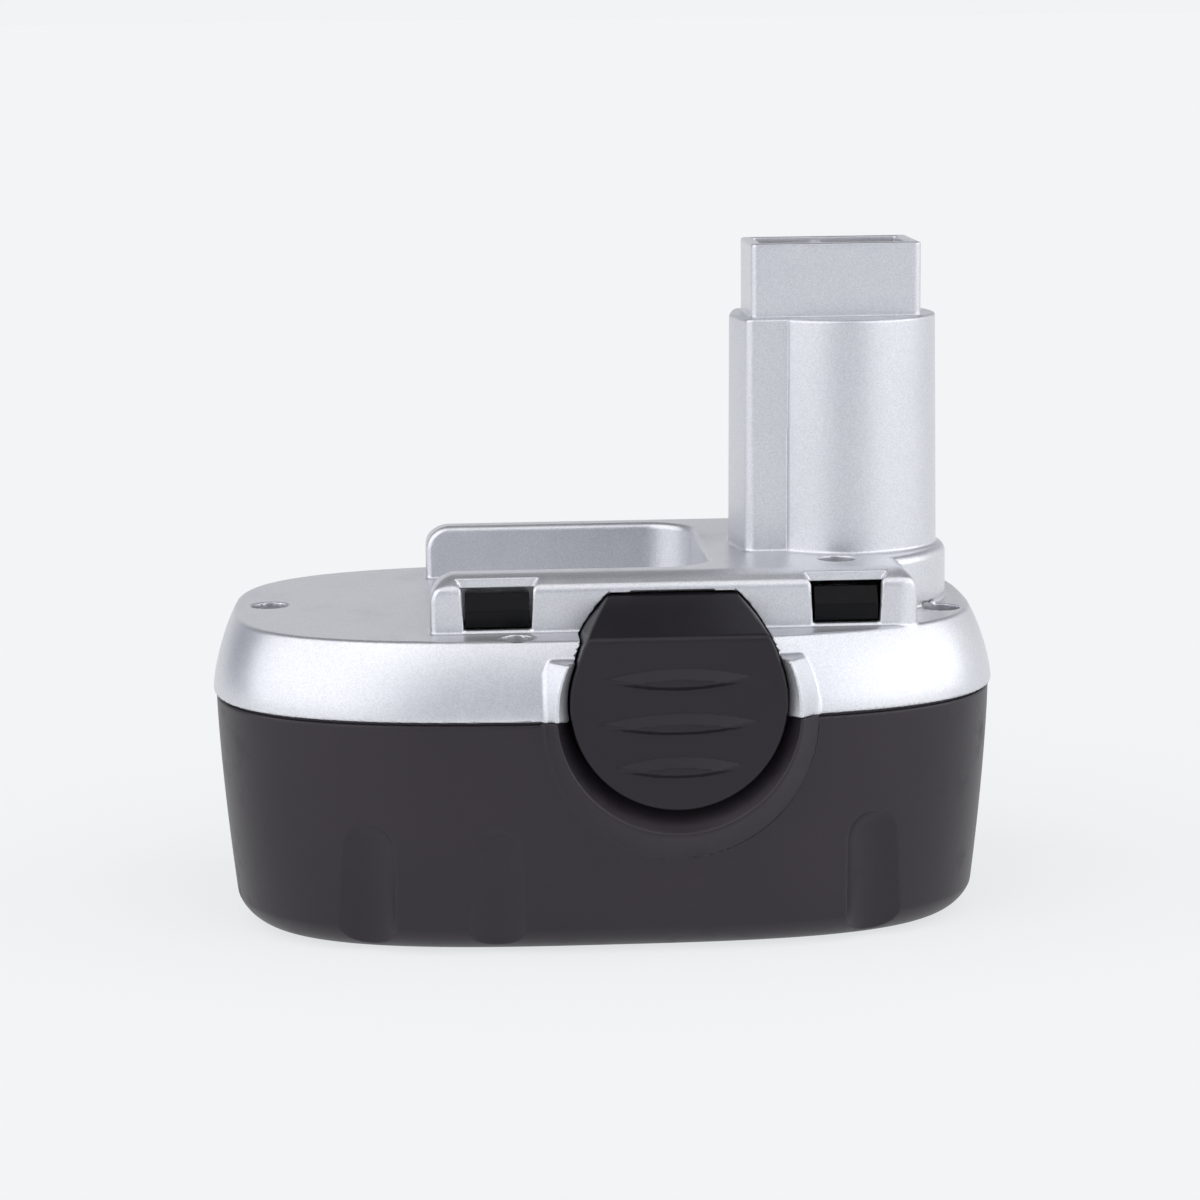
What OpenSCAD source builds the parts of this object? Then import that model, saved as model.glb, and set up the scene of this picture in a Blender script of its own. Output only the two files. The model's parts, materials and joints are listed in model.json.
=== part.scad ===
// Stem type battery pack for an 18 volt cordless tool.
// Frame: +X towards the stem, +Y to the rear catch, +Z up, origin on the table under the middle.

/* [Case] */
// Length of the pack
pack_length = 136; // [130:1:150]
// Width of the pack
pack_width = 87; // [84:1:96]
// Squareness of the oval outline, 2 is an ellipse
outline_power = 3; // [2.8:0.1:3.4]
// Height of the joint between lower case and cover
seam_height = 40.5; // [38:0.5:43]
// Wall of the lower case
case_wall = 2.4; // [2:0.1:2.8]
// Floor of the lower case
case_floor = 2.4; // [2:0.1:3]
// Radius round the bottom of the lower case
bottom_radius = 4.8; // [3:0.2:6]
// How far the case wall leans in from the joint to the floor
case_draft = 3.2; // [2:0.2:4]
// Height of the shadow line under the joint
joint_gap = 1.2; // [0.6:0.1:2]
// Depth of the shadow line under the joint
joint_step = 1; // [0.6:0.1:1.3]
// How far the case wall stands back from the cover
case_setback = 0.5; // [0:0.1:0.6]
// Height of the lip that locates the cover
lip_height = 2.6; // [1.5:0.1:4]

/* [Cover] */
// Wall of the cover
cover_wall = 2.4; // [2:0.1:2.6]
// Height of the deck above the joint
deck_rise = 12.9; // [12:0.1:15]
// Height of the sloping shoulder round the deck
shoulder_drop = 5.5; // [3:0.1:7]
// Width of the sloping shoulder round the deck
shoulder_width = 3.5; // [2:0.1:4]
// Height of the raised rails above the deck
rail_rise = 9.6; // [8:0.1:11]
// Length of the raised rails
rail_length = 80; // [79:0.5:82]
// Deck left bare between the foot of a rail and the shoulder, at the middle of the pack
rail_shelf = 7.3; // [6.7:0.1:7.5]
// Width of the chamfer along the rails
rail_chamfer_width = 2.8; // [1.5:0.1:3]
// Height of the chamfer along the rails
rail_chamfer_height = 1.9; // [1:0.1:2.4]
// Rounding of the rail ends, seen from the side
rail_end_radius = 4.5; // [2:0.5:6]
// Width of each rail, from its foot to the channel
rail_width = 8; // [7.9:0.1:9]
// Corner radius at the closed end of the channel
channel_corner = 6; // [3:0.5:9]
// Rounding along the top of the channel walls
channel_edge = 1.2; // [0.4:0.1:1.4]

/* [Stem] */
// Distance of the stem from the middle of the pack
stem_offset = 40.8; // [39:0.2:41.6]
// Length of the stem along the pack
stem_length = 36.5; // [35:0.5:37]
// Width of the stem across the pack, over its round part
stem_width = 32; // [31.6:0.2:32.6]
// Height of the stem above the deck
stem_rise = 49.9; // [49:0.5:54]
// Wall of the stem
stem_wall = 2.1; // [1.8:0.1:2.2]
// Step between the flat and the round part of the stem
stem_step = 0.5; // [0.3:0.1:0.7]
// Radius of the round foot that carries the stem
foot_radius = 23; // [22:0.5:24]
// Length of the terminal head
head_length = 29.4; // [28:0.2:30]
// Width of the terminal head
head_width = 18.6; // [18:0.2:19.6]
// Height of the terminal head above the stem
head_rise = 12.7; // [12:0.1:15]
// Wall of the terminal head
head_wall = 2; // [1.6:0.1:2.2]
// Wall between the two sockets of the head
head_divider = 1.7; // [1.2:0.1:2.4]

/* [Catches] */
// Distance of both catches from the middle of the pack
catch_offset = 10.2; // [9.6:0.2:10.8]
// Radius of the round part of the button
button_radius = 18; // [17:0.5:19]
// Height of the button's centre
button_height = 43.3; // [42.5:0.1:44]
// Thickness of the button's skin
button_skin = 2.1; // [1.6:0.1:2.4]
// Travel of each catch
catch_travel = 2.5; // [2:0.1:2.6]
// Distance of each hook from the middle of the catch
hook_offset = 29.3; // [28.6:0.1:30]
// Width of the window that each hook looks through
window_width = 11.3; // [9:0.1:12]
// Thickness of the hook's leg
hook_thickness = 1.8; // [1.4:0.1:1.9]
// Thickness of the catch plate
plate_thickness = 2.4; // [1.8:0.1:2.4]
// How far the boss round the button stands out of the case
boss_rise = 1.6; // [1:0.1:2.2]
// Radius of the boss at its ridge
boss_ridge = 20.3; // [20:0.1:21]
// Radius of the boss where it meets the case
boss_foot = 22.9; // [22.4:0.1:24]
// Depth of the funnel from the ridge to the button
funnel_depth = 1.8; // [1:0.1:2.2]
// Wire of the return spring
spring_wire = 0.8; // [0.6:0.05:0.9]
// Outer diameter of the return spring
spring_diameter = 7.2; // [6:0.2:7.6]
// Number of curls in the return spring
spring_curls = 5; // [4:1:6]

/* [Cells] */
// Room between the outer cells and each end of the pack
end_room = 13; // [12.8:0.1:14]
// Gap between the sheet on the cells and the catch plates
cell_clear = 0.5; // [0.3:0.1:1.5]
// Gap between the stem cell and the wall of the stem
stem_cell_gap = 2.9; // [2.8:0.1:3.5]
// Thickness of the nickel link strips
link_thickness = 0.3; // [0.15:0.05:0.4]
// Width of the nickel link strips
link_width = 7; // [4:0.5:9]
// Thickness of the insulating sheets
sheet_thickness = 0.4; // [0.2:0.05:0.5]
// Thickness of the foam pad under the cells
foam_thickness = 1; // [0.6:0.1:1.2]

/* [Fasteners] */
// Diameter of the screw shank
screw_diameter = 3; // [2.5:0.1:3.2]
// Diameter of the screw head
screw_head = 5.6; // [5:0.1:5.8]
// Height of the screw head
screw_head_height = 2.2; // [1.6:0.1:2.4]
// Diameter of the holes that take the screw heads
screw_sink = 6.4; // [6.2:0.1:6.8]
// Depth of the screw holes in the deck and the foot
sink_depth = 4.4; // [3:0.1:5]
// Wall of the screw posts
post_wall = 1.7; // [1.2:0.1:2]

/* [Fits] */
// Gap between parts that slide past each other
slide_gap = 0.3; // [0.2:0.05:0.4]
// Gap between parts that are assembled and stay
rest_gap = 0.15; // [0.05:0.05:0.25]
// Gap round the thread of a screw
thread_gap = 0.01; // [0.01:0.01:0.05]

/* [Grips] */
// Radius of the finger grooves in the case
groove_radius = 6; // [4:0.5:8]
// Depth of the finger grooves at their foot
groove_depth = 2.1; // [1:0.1:2.4]
// Lean of the finger grooves
groove_lean = 12; // [8:1:15]
// Height of the lower end of the finger grooves
groove_foot = 7.5; // [6:0.5:10]

/* [Wiring] */
// Diameter of the power leads
lead_diameter = 2.4; // [1.8:0.1:2.6]
// Diameter of the sensor lead
sense_diameter = 1.4; // [1:0.1:1.6]
// Thickness of the contact metal
contact_thickness = 0.6; // [0.4:0.1:0.8]

/* [Hidden] */

RING = 96;
half_length = pack_length / 2;
half_width = pack_width / 2;
deck_height = seam_height + deck_rise;
rail_top = deck_height + rail_rise;
stem_top = deck_height + stem_rise;
head_top = stem_top + head_rise;
cover_draft = 0.5;
bend_height = deck_height - shoulder_drop;
deck_inset = cover_draft + shoulder_width;
deck_under = deck_height - cover_wall;

plate_top = deck_under - slide_gap;
plate_base = plate_top - plate_thickness;
row_cells = 5;
cell_diameter = (pack_length - 2 * end_room) / row_cells;
cell_radius = cell_diameter / 2;
foam_top = case_floor + foam_thickness;
cell_base = foam_top + sheet_thickness + link_thickness;
sheet_top = plate_base - cell_clear;
sheet_base = sheet_top - sheet_thickness;
cell_top = sheet_base - link_thickness;
row_pitch = cell_diameter * sin(60);
cell_places = concat(
    [for (i = [-2:2]) [i * cell_diameter, -row_pitch]],
    [for (i = [-1.5:1:1.5]) [i * cell_diameter, 0]],
    [for (i = [-2:2]) [i * cell_diameter, row_pitch]]);
// The series chain runs 14, 13, 12, 11, 10, 6, 1, 2, 7, 8, 3, 4, 9, 5; both ends lie under the stem
bottom_pairs = [[13, 12], [11, 10], [9, 5], [0, 1], [6, 7], [2, 3], [8, 4]];
top_pairs = [[12, 11], [10, 9], [5, 0], [1, 6], [7, 2], [3, 8]];

rail_half = half_width - deck_inset - rail_shelf;
rail_wall = 1.8;
channel_half = rail_half - rail_width;
channel_wall = 1.5;
chamfer_clear = 0.1;
leg_front = rail_half - rail_wall - 0.2;
leg_back = leg_front - hook_thickness;
plate_back = leg_back - 1.4;
plate_bar = leg_front + 1 - plate_back;
window_base = deck_height + 0.6;
window_top = rail_top - 2.4;

button_face = half_width + boss_rise - 0.6;
button_depth = 7.4;
button_back = button_face - button_depth;
button_rim = 1.6;
button_top = rail_top - rail_chamfer_height - 0.8;
button_crease = deck_height + 1;
button_top_face = rail_half - 0.4;
button_top_half = 10.8;
button_crease_half = 15.3;
button_gap = 0.5;
funnel_lip = 0.4;
flange_thickness = 1.4;
flange_width = 1.7;
flange_top = plate_base - 4;
ring_back = button_back + slide_gap;
ridge_face = half_width + boss_rise;
ridge_drop = 2;
foot_drop = 3.4;
boss_top = deck_height - 3.1;

grip_ridges = [[4.1, 23], [-3.4, 26], [-10.7, 20]];
spring_height = 38;
seat_front = row_pitch + cell_radius + 1.15;
plate_front = seat_front + 3.2;
seat_thickness = 1.7;
seat_width = 9.4;
web_foot = 9;
web_reach = half_width - case_setback - case_draft - case_wall / 2 + 0.6;
spring_length = button_face - button_skin - seat_front - 2 * rest_gap;

end_screw_inset = 9.9;
side_screw_inset = 7.3;
deck_screws = [
    [-half_length + end_screw_inset, 0],
    [half_length - end_screw_inset, -15.6],
    [half_length - end_screw_inset, 15.6],
    [catch_offset - button_radius - 8.2, -half_width + side_screw_inset],
    [catch_offset - button_radius - 8.2, half_width - side_screw_inset]];
carrier_screw_places = [[stem_offset - 1.4, -foot_radius + 3], [stem_offset - 1.4, foot_radius - 3]];
post_radius = screw_diameter / 2 + post_wall;
sink_post = screw_sink / 2 + 1.2;
deck_sink_floor = deck_height - sink_depth;
case_screw_length = 22;
carrier_screw_length = 9;
carrier_top = deck_height + 1.6;
carrier_sink_floor = rail_top - sink_depth;
stem_cell_base = carrier_top + rest_gap + link_thickness;
stem_cell_radius = stem_width / 2 - stem_wall - stem_cell_gap;
carrier_base = sheet_top;

stem_half_length = stem_length / 2;
stem_half_width = stem_width / 2;
stem_left = stem_offset - stem_half_length;
stem_right = stem_offset + stem_half_length;
stem_step_place = stem_left + 9.6;
stem_round_place = stem_right - stem_half_width;
stem_flat_half = sqrt(pow(stem_half_width, 2) - pow(stem_round_place - stem_step_place, 2)) - stem_step;
foot_place = stem_offset - 2.8;
channel_end = stem_left - 5.4;
stem_roof = 2.2;
head_offset = stem_offset - 0.7;
head_half_length = head_length / 2;
head_half_width = head_width / 2;
socket_half_length = head_half_length - head_wall;
socket_half_width = head_half_width - head_wall;
divider_place = head_offset - 1;
socket_floor = stem_top + 0.4;
block_flange = 2.05;
block_half_width = 8.4;
block_flange_top = stem_top - stem_roof - rest_gap;
block_base = block_flange_top - block_flange;
stem_cell_top = block_base - rest_gap - link_thickness;
lead_gap = 0.2;
lead_x = stem_offset + stem_cell_radius + lead_gap + lead_diameter / 2;
lead_top = block_flange_top - 0.3;
negative_tail = head_offset - socket_half_length + 0.8;
positive_tail = lead_x - lead_diameter / 2 - contact_thickness;
sense_x = head_offset - socket_half_length + 0.8;
leaf_height = head_rise - 3.4;
leaf_width = 6.4;
negative_middle = (head_offset - socket_half_length + divider_place - head_divider / 2) / 2 + 0.6;
positive_middle = (head_offset + socket_half_length + divider_place + head_divider / 2) / 2 - 0.6;
tail_foot = block_base - 3.5;
strap_x = stem_offset + 2.4;
strap_y = stem_cell_radius + 0.8;
strap_width = 4;
bead_diameter = 2.4;
sheet_inset = 9;

groove_places = [[-37.5, 1], [-17.5, 1], [43, -1]];

function signed_power(v, p) = sign(v) * pow(abs(v), p);
function oval_point(inset, t) = [
    (half_length - inset) * signed_power(cos(t), 2 / outline_power),
    (half_width - inset) * signed_power(sin(t), 2 / outline_power)];
function oval(inset, count = RING) = [for (i = [0:count - 1]) oval_point(inset, 360 * i / count)];
// Y of the outline at a given X
function oval_reach(inset, x) =
    (half_width - inset) * pow(1 - pow(abs(x) / (half_length - inset), outline_power), 1 / outline_power);
// Inset of the lower case at height z, a curve that leans in more and more towards the floor
function case_lean(z) = case_setback + case_draft * pow(max(0, seam_height - z) / seam_height, 1.5);
function case_profile(extra, low, radius) = concat(
    [for (a = [0:18:90]) [low + radius * (1 - cos(a)) ,
         case_lean(low + radius) + radius * (1 - sin(a)) + extra]],
    [for (k = [1:5]) let (z = low + radius + (seam_height - joint_gap - low - radius) * k / 5)
        [z, case_lean(z) + extra]]);

// A closed body whose rings are ovals, one for each [height, inset]
module oval_body(profile, count = RING) {
    levels = len(profile);
    points = [for (p = profile) for (q = oval(p[1], count)) [q[0], q[1], p[0]]];
    sides = [for (k = [0:levels - 2]) for (i = [0:count - 1]) let (j = (i + 1) % count)
        each [[k * count + i, (k + 1) * count + i, k * count + j],
              [(k + 1) * count + i, (k + 1) * count + j, k * count + j]]];
    bottom = [[for (i = [0:count - 1]) i]];
    top = [[for (i = [count - 1:-1:0]) (levels - 1) * count + i]];
    polyhedron(points, concat(sides, bottom, top));
}

// Stands a flat shape drawn in X and Z upright, from Y = near to Y = far
module upright(near, far) {
    translate([0, far, 0]) rotate([90, 0, 0]) linear_extrude(far - near) children();
}

// Lays a flat shape drawn in Y and Z along X
module along(start, end) {
    translate([start, 0, 0]) rotate([90, 0, 90]) linear_extrude(end - start) children();
}

module rounded(size, r) {
    translate([r, 0]) square([size[0] - 2 * r, size[1]]);
    translate([0, r]) square([size[0], size[1] - 2 * r]);
    for (x = [r, size[0] - r], y = [r, size[1] - r]) translate([x, y]) circle(r, $fn = 48);
}

// Puts the children on the front, or turned round for the rear catch
module catch_side(side) {
    if (side < 0) children();
    else mirror([0, 1, 0]) children();
}

module button_outline(grow = 0) {
    r = button_radius + grow;
    circle(r, $fn = 96);
    reach = button_top - button_height + grow;
    crease = button_crease - button_height;
    swell = (button_crease_half + button_top_half) / 2 + 0.7;
    right = [[button_crease_half + grow, crease - 6], [button_crease_half + grow, crease],
             [swell + grow, (crease + reach) / 2], [button_top_half + grow, reach]];
    polygon(concat(right, [for (i = [3:-1:0]) [-right[i][0], right[i][1]]]));
}

module button_cut(near, far, grow) {
    upright(near, far) translate([catch_offset, button_height]) intersection() {
        button_outline(grow);
        translate([-50, -50]) square([100, 50 + button_top - button_height + grow]);
    }
}

// One finger groove, a leaning round cutter with a ball at its foot
module groove(place, lean_way, grow) {
    foot_y = oval_reach(case_lean(groove_foot), place) + groove_radius - groove_depth;
    for (side = [-1, 1]) translate([place, side * foot_y, groove_foot])
        rotate([-side * groove_lean, lean_way * 4, 0]) {
            cylinder(r = groove_radius + grow, h = 40, $fn = 64);
            sphere(groove_radius + grow, $fn = 64);
        }
}

// A round body between two circles [height, radius] on the planes Y = near and Y = far, about the catch
module eccentric_cone(near, near_circle, far, far_circle, count = 72) {
    circles = [[near, near_circle], [far, far_circle]];
    points = [for (c = circles) for (i = [0:count - 1])
        [catch_offset + c[1][1] * cos(360 * i / count), c[0], c[1][0] + c[1][1] * sin(360 * i / count)]];
    sides = [for (i = [0:count - 1]) let (j = (i + 1) % count)
        each [[i, j, count + i], [j, count + j, count + i]]];
    polyhedron(points, concat(sides, [[for (i = [count - 1:-1:0]) i]],
               [[for (i = [0:count - 1]) count + i]]));
}

// The boss round a button, and the funnel that leads down to the button inside it
module boss(low, high) {
    intersection() {
        union() {
            eccentric_cone(-ridge_face, [button_height - ridge_drop, boss_ridge],
                -half_width + case_setback + 1.4, [button_height - foot_drop, boss_foot + 0.6]);
            translate([catch_offset, -ring_back, button_height - foot_drop]) rotate([90, 0, 0])
                cylinder(r = boss_foot - 0.4, h = half_width - case_setback - 1.5 - ring_back, $fn = 96);
        }
        translate([-half_length, -pack_width, low]) cube([pack_length, 2 * pack_width, high - low]);
    }
}

module funnel() {
    eccentric_cone(-ridge_face - 0.5, [button_height - ridge_drop, boss_ridge + 0.2],
        -ridge_face + funnel_depth, [button_height, button_radius + button_gap + funnel_lip]);
}

module screw_posts(low, high, radius) {
    for (p = deck_screws) translate([p[0], p[1], low]) cylinder(r = radius, h = high - low, $fn = 48);
}

module case_solid() {
    oval_body(concat(case_profile(0, 0, bottom_radius),
        [[seam_height - joint_gap + 0.01, joint_step], [seam_height, joint_step]]));
}

// Rib that the spring pushes against, with a web to the wall below the button
module spring_seat() {
    translate([catch_offset - seat_width / 2, -seat_front, 1])
        cube([seat_width, seat_thickness, seam_height + 1]);
    translate([catch_offset - 0.8, -web_reach, web_foot])
        cube([1.6, web_reach - seat_front + 0.5, button_height - button_radius - 5 - web_foot]);
}

module case_shell() {
    difference() {
        case_solid();
        oval_body(case_profile(case_wall, case_floor, bottom_radius - 1.8), 72);
        translate([0, 0, seam_height - joint_gap - 1]) linear_extrude(10) polygon(oval(case_wall + 0.6, 72));
    }
    intersection() {
        case_solid();
        for (g = groove_places) groove(g[0], g[1], case_wall - 0.8);
    }
}

// Lower case: oval tub with screw posts, spring seats, button bosses and finger grooves
module lower_case() {
    color("dimgray") difference() {
        union() {
            case_shell();
            intersection() {
                case_solid();
                screw_posts(1, seam_height, post_radius);
            }
            for (side = [-1, 1]) catch_side(side) {
                boss(0, seam_height);
                spring_seat();
            }
        }
        for (g = groove_places) groove(g[0], g[1], 0);
        for (side = [-1, 1]) catch_side(side) {
            funnel();
            button_cut(-ridge_face - 1, -ring_back + 1, button_gap);
            flange_room();
        }
        for (p = deck_screws) translate([p[0], p[1], seam_height - case_screw_length])
            cylinder(d = screw_diameter + 2 * thread_gap, h = case_screw_length + 1, $fn = 48);
        cover_lip(rest_gap, 1);
    }
}

// The lip under the cover that drops inside the lower case
module cover_lip(grow, over) {
    translate([0, 0, seam_height - lip_height - grow]) difference() {
        linear_extrude(lip_height + grow + over) polygon(oval(case_wall - 0.9 - grow, 72));
        translate([0, 0, -1]) linear_extrude(lip_height + grow + over + 2)
            polygon(oval(case_wall + 0.9 + grow, 72));
    }
}

// Outline of the stem: a flat sided left part, and a round part that stands out beside it
module stem_outline(inset) {
    r = stem_half_width - inset;
    flat = stem_flat_half - inset;
    left = stem_left + inset;
    step = stem_step_place + inset;
    intersection() {
        translate([stem_round_place, 0]) circle(r, $fn = 128);
        translate([step, -r]) square([2 * r, 2 * r]);
    }
    polygon([[left, 0], [left + 0.2, -flat + 8], [left + 2.6, -flat + 1.2], [left + 3.9, -flat],
             [step + 1, -flat],
             [step + 1, flat], [left + 3.9, flat], [left + 2.6, flat - 1.2], [left + 0.2, flat - 8]]);
}

module rail_profile() {
    top_half = rail_half - rail_chamfer_width;
    polygon([[-rail_half, deck_under],
             [-rail_half + 0.2, rail_top - rail_chamfer_height], [-top_half, rail_top],
             [top_half, rail_top], [rail_half - 0.2, rail_top - rail_chamfer_height],
             [rail_half, deck_under]]);
}

module rails_outer() {
    intersection() {
        translate([0, 0, deck_under]) linear_extrude(deck_height) polygon(oval(deck_inset - 0.2));
        along(catch_offset - rail_length / 2, catch_offset + rail_length / 2) rail_profile();
        upright(-half_width, half_width)
            translate([catch_offset - rail_length / 2, deck_height - 20])
                rounded([rail_length, rail_rise + 20], rail_end_radius);
    }
}

module foot_outer() {
    translate([foot_place, 0, 0]) rotate_extrude($fn = 96)
        polygon(concat([[0, deck_under], [foot_radius, deck_under], [foot_radius, rail_top - 1.6]],
            [for (a = [15:15:90]) [foot_radius - 1.6 * (1 - cos(a)), rail_top - 1.6 * (1 - sin(a))]],
            [[0, rail_top]]));
}

// The tool's foot slides into this channel from the end away from the stem
module channel_cut() {
    start = catch_offset - rail_length / 2 - 1;
    end = channel_end;
    translate([0, 0, deck_height]) linear_extrude(rail_rise + 1) {
        translate([start, -channel_half]) square([end - start - channel_corner, 2 * channel_half]);
        translate([end - channel_corner - 1, -channel_half + channel_corner])
            square([channel_corner + 1, 2 * (channel_half - channel_corner)]);
        for (s = [-1, 1]) translate([end - channel_corner, s * (channel_half - channel_corner)])
            circle(channel_corner, $fn = 64);
    }
    // the chamfer's cutter stands on its corner, a little inside the channel
    reach = channel_edge + chamfer_clear;
    for (s = [-1, 1]) translate([start, s * (channel_half - chamfer_clear), rail_top])
        rotate([45, 0, 0]) translate([0, -reach / sqrt(2), -reach / sqrt(2)])
            cube([end - start - channel_corner - 4 * chamfer_clear, reach * sqrt(2), reach * sqrt(2)]);
}

module window_cuts() {
    for (side = [-1, 1], h = [-1, 1]) catch_side(side) {
        middle = catch_offset + h * hook_offset;
        translate([middle - window_width / 2, -half_width, window_base])
            cube([window_width, half_width - channel_half - channel_wall, window_top - window_base]);
        // flared lip above and beside the window
        hull() {
            translate([middle - window_width / 2 - 0.2, -rail_half + 1.1, window_base])
                cube([window_width + 0.4, 0.1, window_top - window_base + 0.1]);
            translate([middle - window_width / 2 - 1.2, -rail_half - 1, window_base])
                cube([window_width + 2.4, 0.1, rail_rise + 1]);
        }
    }
}

module cover_outer() {
    cover_skirt();
    rails_outer();
    foot_outer();
    translate([0, 0, deck_height]) linear_extrude(stem_rise) stem_outline(0);
    translate([head_offset - head_half_length, -head_half_width, stem_top - 1])
        linear_extrude(head_rise + 1) rounded([head_length, head_width], 1);
    cover_lip(0, 0.5);
}

module cover_inner() {
    oval_body([[seam_height - 1, cover_wall], [bend_height - 1, cover_wall + cover_draft],
               [deck_under, cover_wall + deck_inset - 1.5]], 72);
    // hollow of the rails, on both sides of the channel
    intersection() {
        for (s = [-1, 1]) translate([catch_offset - rail_length / 2 + rail_wall,
                s > 0 ? channel_half + channel_wall : -rail_half + rail_wall, deck_under - 1])
            cube([rail_length - 2 * rail_wall, rail_half - channel_half - channel_wall - rail_wall,
                  rail_rise + 1.2]);
        oval_body([[deck_under - 2, deck_inset + 0.8], [rail_top, deck_inset + 0.8]], 72);
    }
    // hollow under the foot and the platform round it, up to the channel's end wall
    platform_start = channel_end + channel_wall;
    intersection() {
        translate([foot_place, 0, deck_under - 1])
            cylinder(r = foot_radius - 2.2, h = rail_top - cover_wall - deck_under + 1, $fn = 96);
        translate([platform_start, -half_width, 0]) cube([half_length, pack_width, rail_top]);
    }
    translate([platform_start, -rail_half + rail_wall, deck_under - 1])
        cube([catch_offset + rail_length / 2 - rail_wall - platform_start, 2 * (rail_half - rail_wall),
              rail_top - cover_wall - deck_under + 1]);
    translate([0, 0, deck_under - 1]) linear_extrude(stem_top - stem_roof - deck_under + 1)
        stem_outline(stem_wall);
    // sockets, with the divider left standing
    difference() {
        translate([head_offset - socket_half_length, -socket_half_width, stem_top - stem_roof - 1])
            cube([2 * socket_half_length, 2 * socket_half_width, head_rise + stem_roof + 2]);
        translate([divider_place - head_divider / 2, -head_half_width, socket_floor + rest_gap])
            cube([head_divider, head_width, head_rise - 1.4]);
    }
}

module cover_skirt() {
    oval_body([[seam_height, 0], [bend_height, cover_draft], [deck_height, deck_inset]]);
}

// Posts inside the cover that take the screws
module cover_posts() {
    intersection() {
        cover_skirt();
        union() {
            screw_posts(seam_height, deck_under + 1, post_radius);
            for (p = deck_screws) translate([p[0], p[1], deck_sink_floor - 1.6])
                cylinder(r = sink_post, h = sink_depth + 1.4, $fn = 48);
        }
    }
    for (p = carrier_screw_places) translate([p[0], p[1], carrier_top + rest_gap])
        cylinder(d = screw_sink + 2 * post_wall, h = rail_top - carrier_top - 1, $fn = 48);
}

// Ribs under the deck that hold the cells down
module hold_down_ribs() {
    for (x = [-46, -12]) translate([x, -20, sheet_top]) cube([1.6, 40, deck_height - sheet_top - 1]);
}

// Cover with deck, rails, stem and terminal head in one moulding
module upper_cover() {
    color("silver") difference() {
        union() {
            difference() {
                cover_outer();
                cover_inner();
            }
            for (side = [-1, 1]) catch_side(side) boss(seam_height, boss_top);
            cover_posts();
            hold_down_ribs();
        }
        channel_cut();
        window_cuts();
        for (side = [-1, 1]) catch_side(side) {
            funnel();
            button_cut(-ridge_face - 1, -rail_half + 3 + catch_travel, button_gap);
            flange_room();
        }
        for (p = deck_screws) screw_hole(p, deck_sink_floor);
        for (p = carrier_screw_places) screw_hole(p, carrier_sink_floor);
    }
}

module screw_hole(place, floor_height) {
    translate([place[0], place[1], floor_height]) {
        cylinder(d = screw_sink, h = sink_depth + 1, $fn = 48);
        translate([0, 0, -20]) cylinder(d = screw_diameter + 2 * rest_gap, h = 21, $fn = 48);
    }
}

// Room behind the boss for the button's flange
module flange_room() {
    room_radius = button_radius + flange_width + 0.5;
    intersection() {
        translate([catch_offset, -ring_back, button_height]) rotate([-90, 0, 0])
            cylinder(r = room_radius, h = ring_back - seat_front - 0.1, $fn = 96);
        translate([catch_offset - room_radius - 1, -pack_width, 0])
            cube([2 * room_radius + 2, pack_width, flange_top + 1.5]);
    }
}

// Side view of the button: a skin below the crease, a wedge that leans back to the rail above it
module button_section() {
    wedge_base = deck_under + 0.2;
    polygon([[-button_face, 0], [-button_face, button_crease], [-button_top_face, button_top],
             [-button_top_face + button_skin, button_top], [-button_top_face + button_skin, wedge_base],
             [-button_face + button_skin, wedge_base], [-button_face + button_skin, 0]]);
}

// A lens shaped grip ridge, seen from the front
module grip_lens(width, height) {
    r = (width * width / 4 + height * height / 4) / height;
    intersection() {
        translate([0, r - height / 2]) circle(r, $fn = 96);
        translate([0, height / 2 - r]) circle(r, $fn = 96);
    }
}

// Button cap: round grip below, sloping tongue above, hollow behind
module button() {
    color("#26262a") {
        intersection() {
            upright(-button_face - 1, -20) translate([catch_offset, button_height]) button_outline();
            along(-half_length, half_length) button_section();
        }
        upright(-button_face + 1, -button_back) translate([catch_offset, button_height]) difference() {
            circle(button_radius, $fn = 96);
            circle(button_radius - button_rim, $fn = 96);
            translate([-40, button_crease - button_height - 2.5]) square([80, 40]);
        }
        // the flange keeps the button in the case
        upright(-button_back, -button_back + flange_thickness) translate([catch_offset, button_height])
            difference() {
                circle(button_radius + flange_width, $fn = 96);
                circle(button_radius - button_rim, $fn = 96);
                translate([-40, flange_top - button_height]) square([80, 40]);
            }
        // cup that centres the spring
        upright(-button_face + 1, -button_back + flange_thickness) translate([catch_offset, spring_height])
            difference() {
                circle(spring_diameter / 2 + slide_gap + 1.2, $fn = 48);
                circle(spring_diameter / 2 + slide_gap, $fn = 48);
            }
        // two blocks that carry the catch plate
        for (s = [-1, 1]) translate([catch_offset + s * 9 - 2.5, -button_face + 1, plate_base])
            cube([5, button_face - 1 - plate_front, plate_thickness]);
        for (g = grip_ridges) upright(-button_face - 0.5, -button_face + 0.4)
            translate([catch_offset, button_height + g[0]]) grip_lens(g[1], 2.6);
    }
}

// Sliding catch plate with two hooks that look out of the windows
module latch() {
    reach = hook_offset + window_width / 2 - slide_gap;
    color("#1a1a1c") {
        translate([catch_offset - reach, -plate_back - plate_bar, plate_base])
            cube([2 * reach, plate_bar, plate_thickness]);
        translate([catch_offset - 13, -plate_front, plate_base])
            cube([26, plate_front - plate_back - 1, plate_thickness]);
        for (h = [-1, 1]) translate([catch_offset + h * hook_offset - window_width / 2 + slide_gap, 0, 0]) {
            along(0, window_width - 2 * slide_gap) polygon([
                [-leg_back, plate_base], [-leg_front, plate_base], [-leg_front, window_base + 0.5],
                [-rail_half + 0.5, window_base + 0.5], [-rail_half + 0.3, window_base + 3.2],
                [-leg_front, window_top - 0.6], [-leg_back, window_top - 0.6]]);
        }
    }
}

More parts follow.
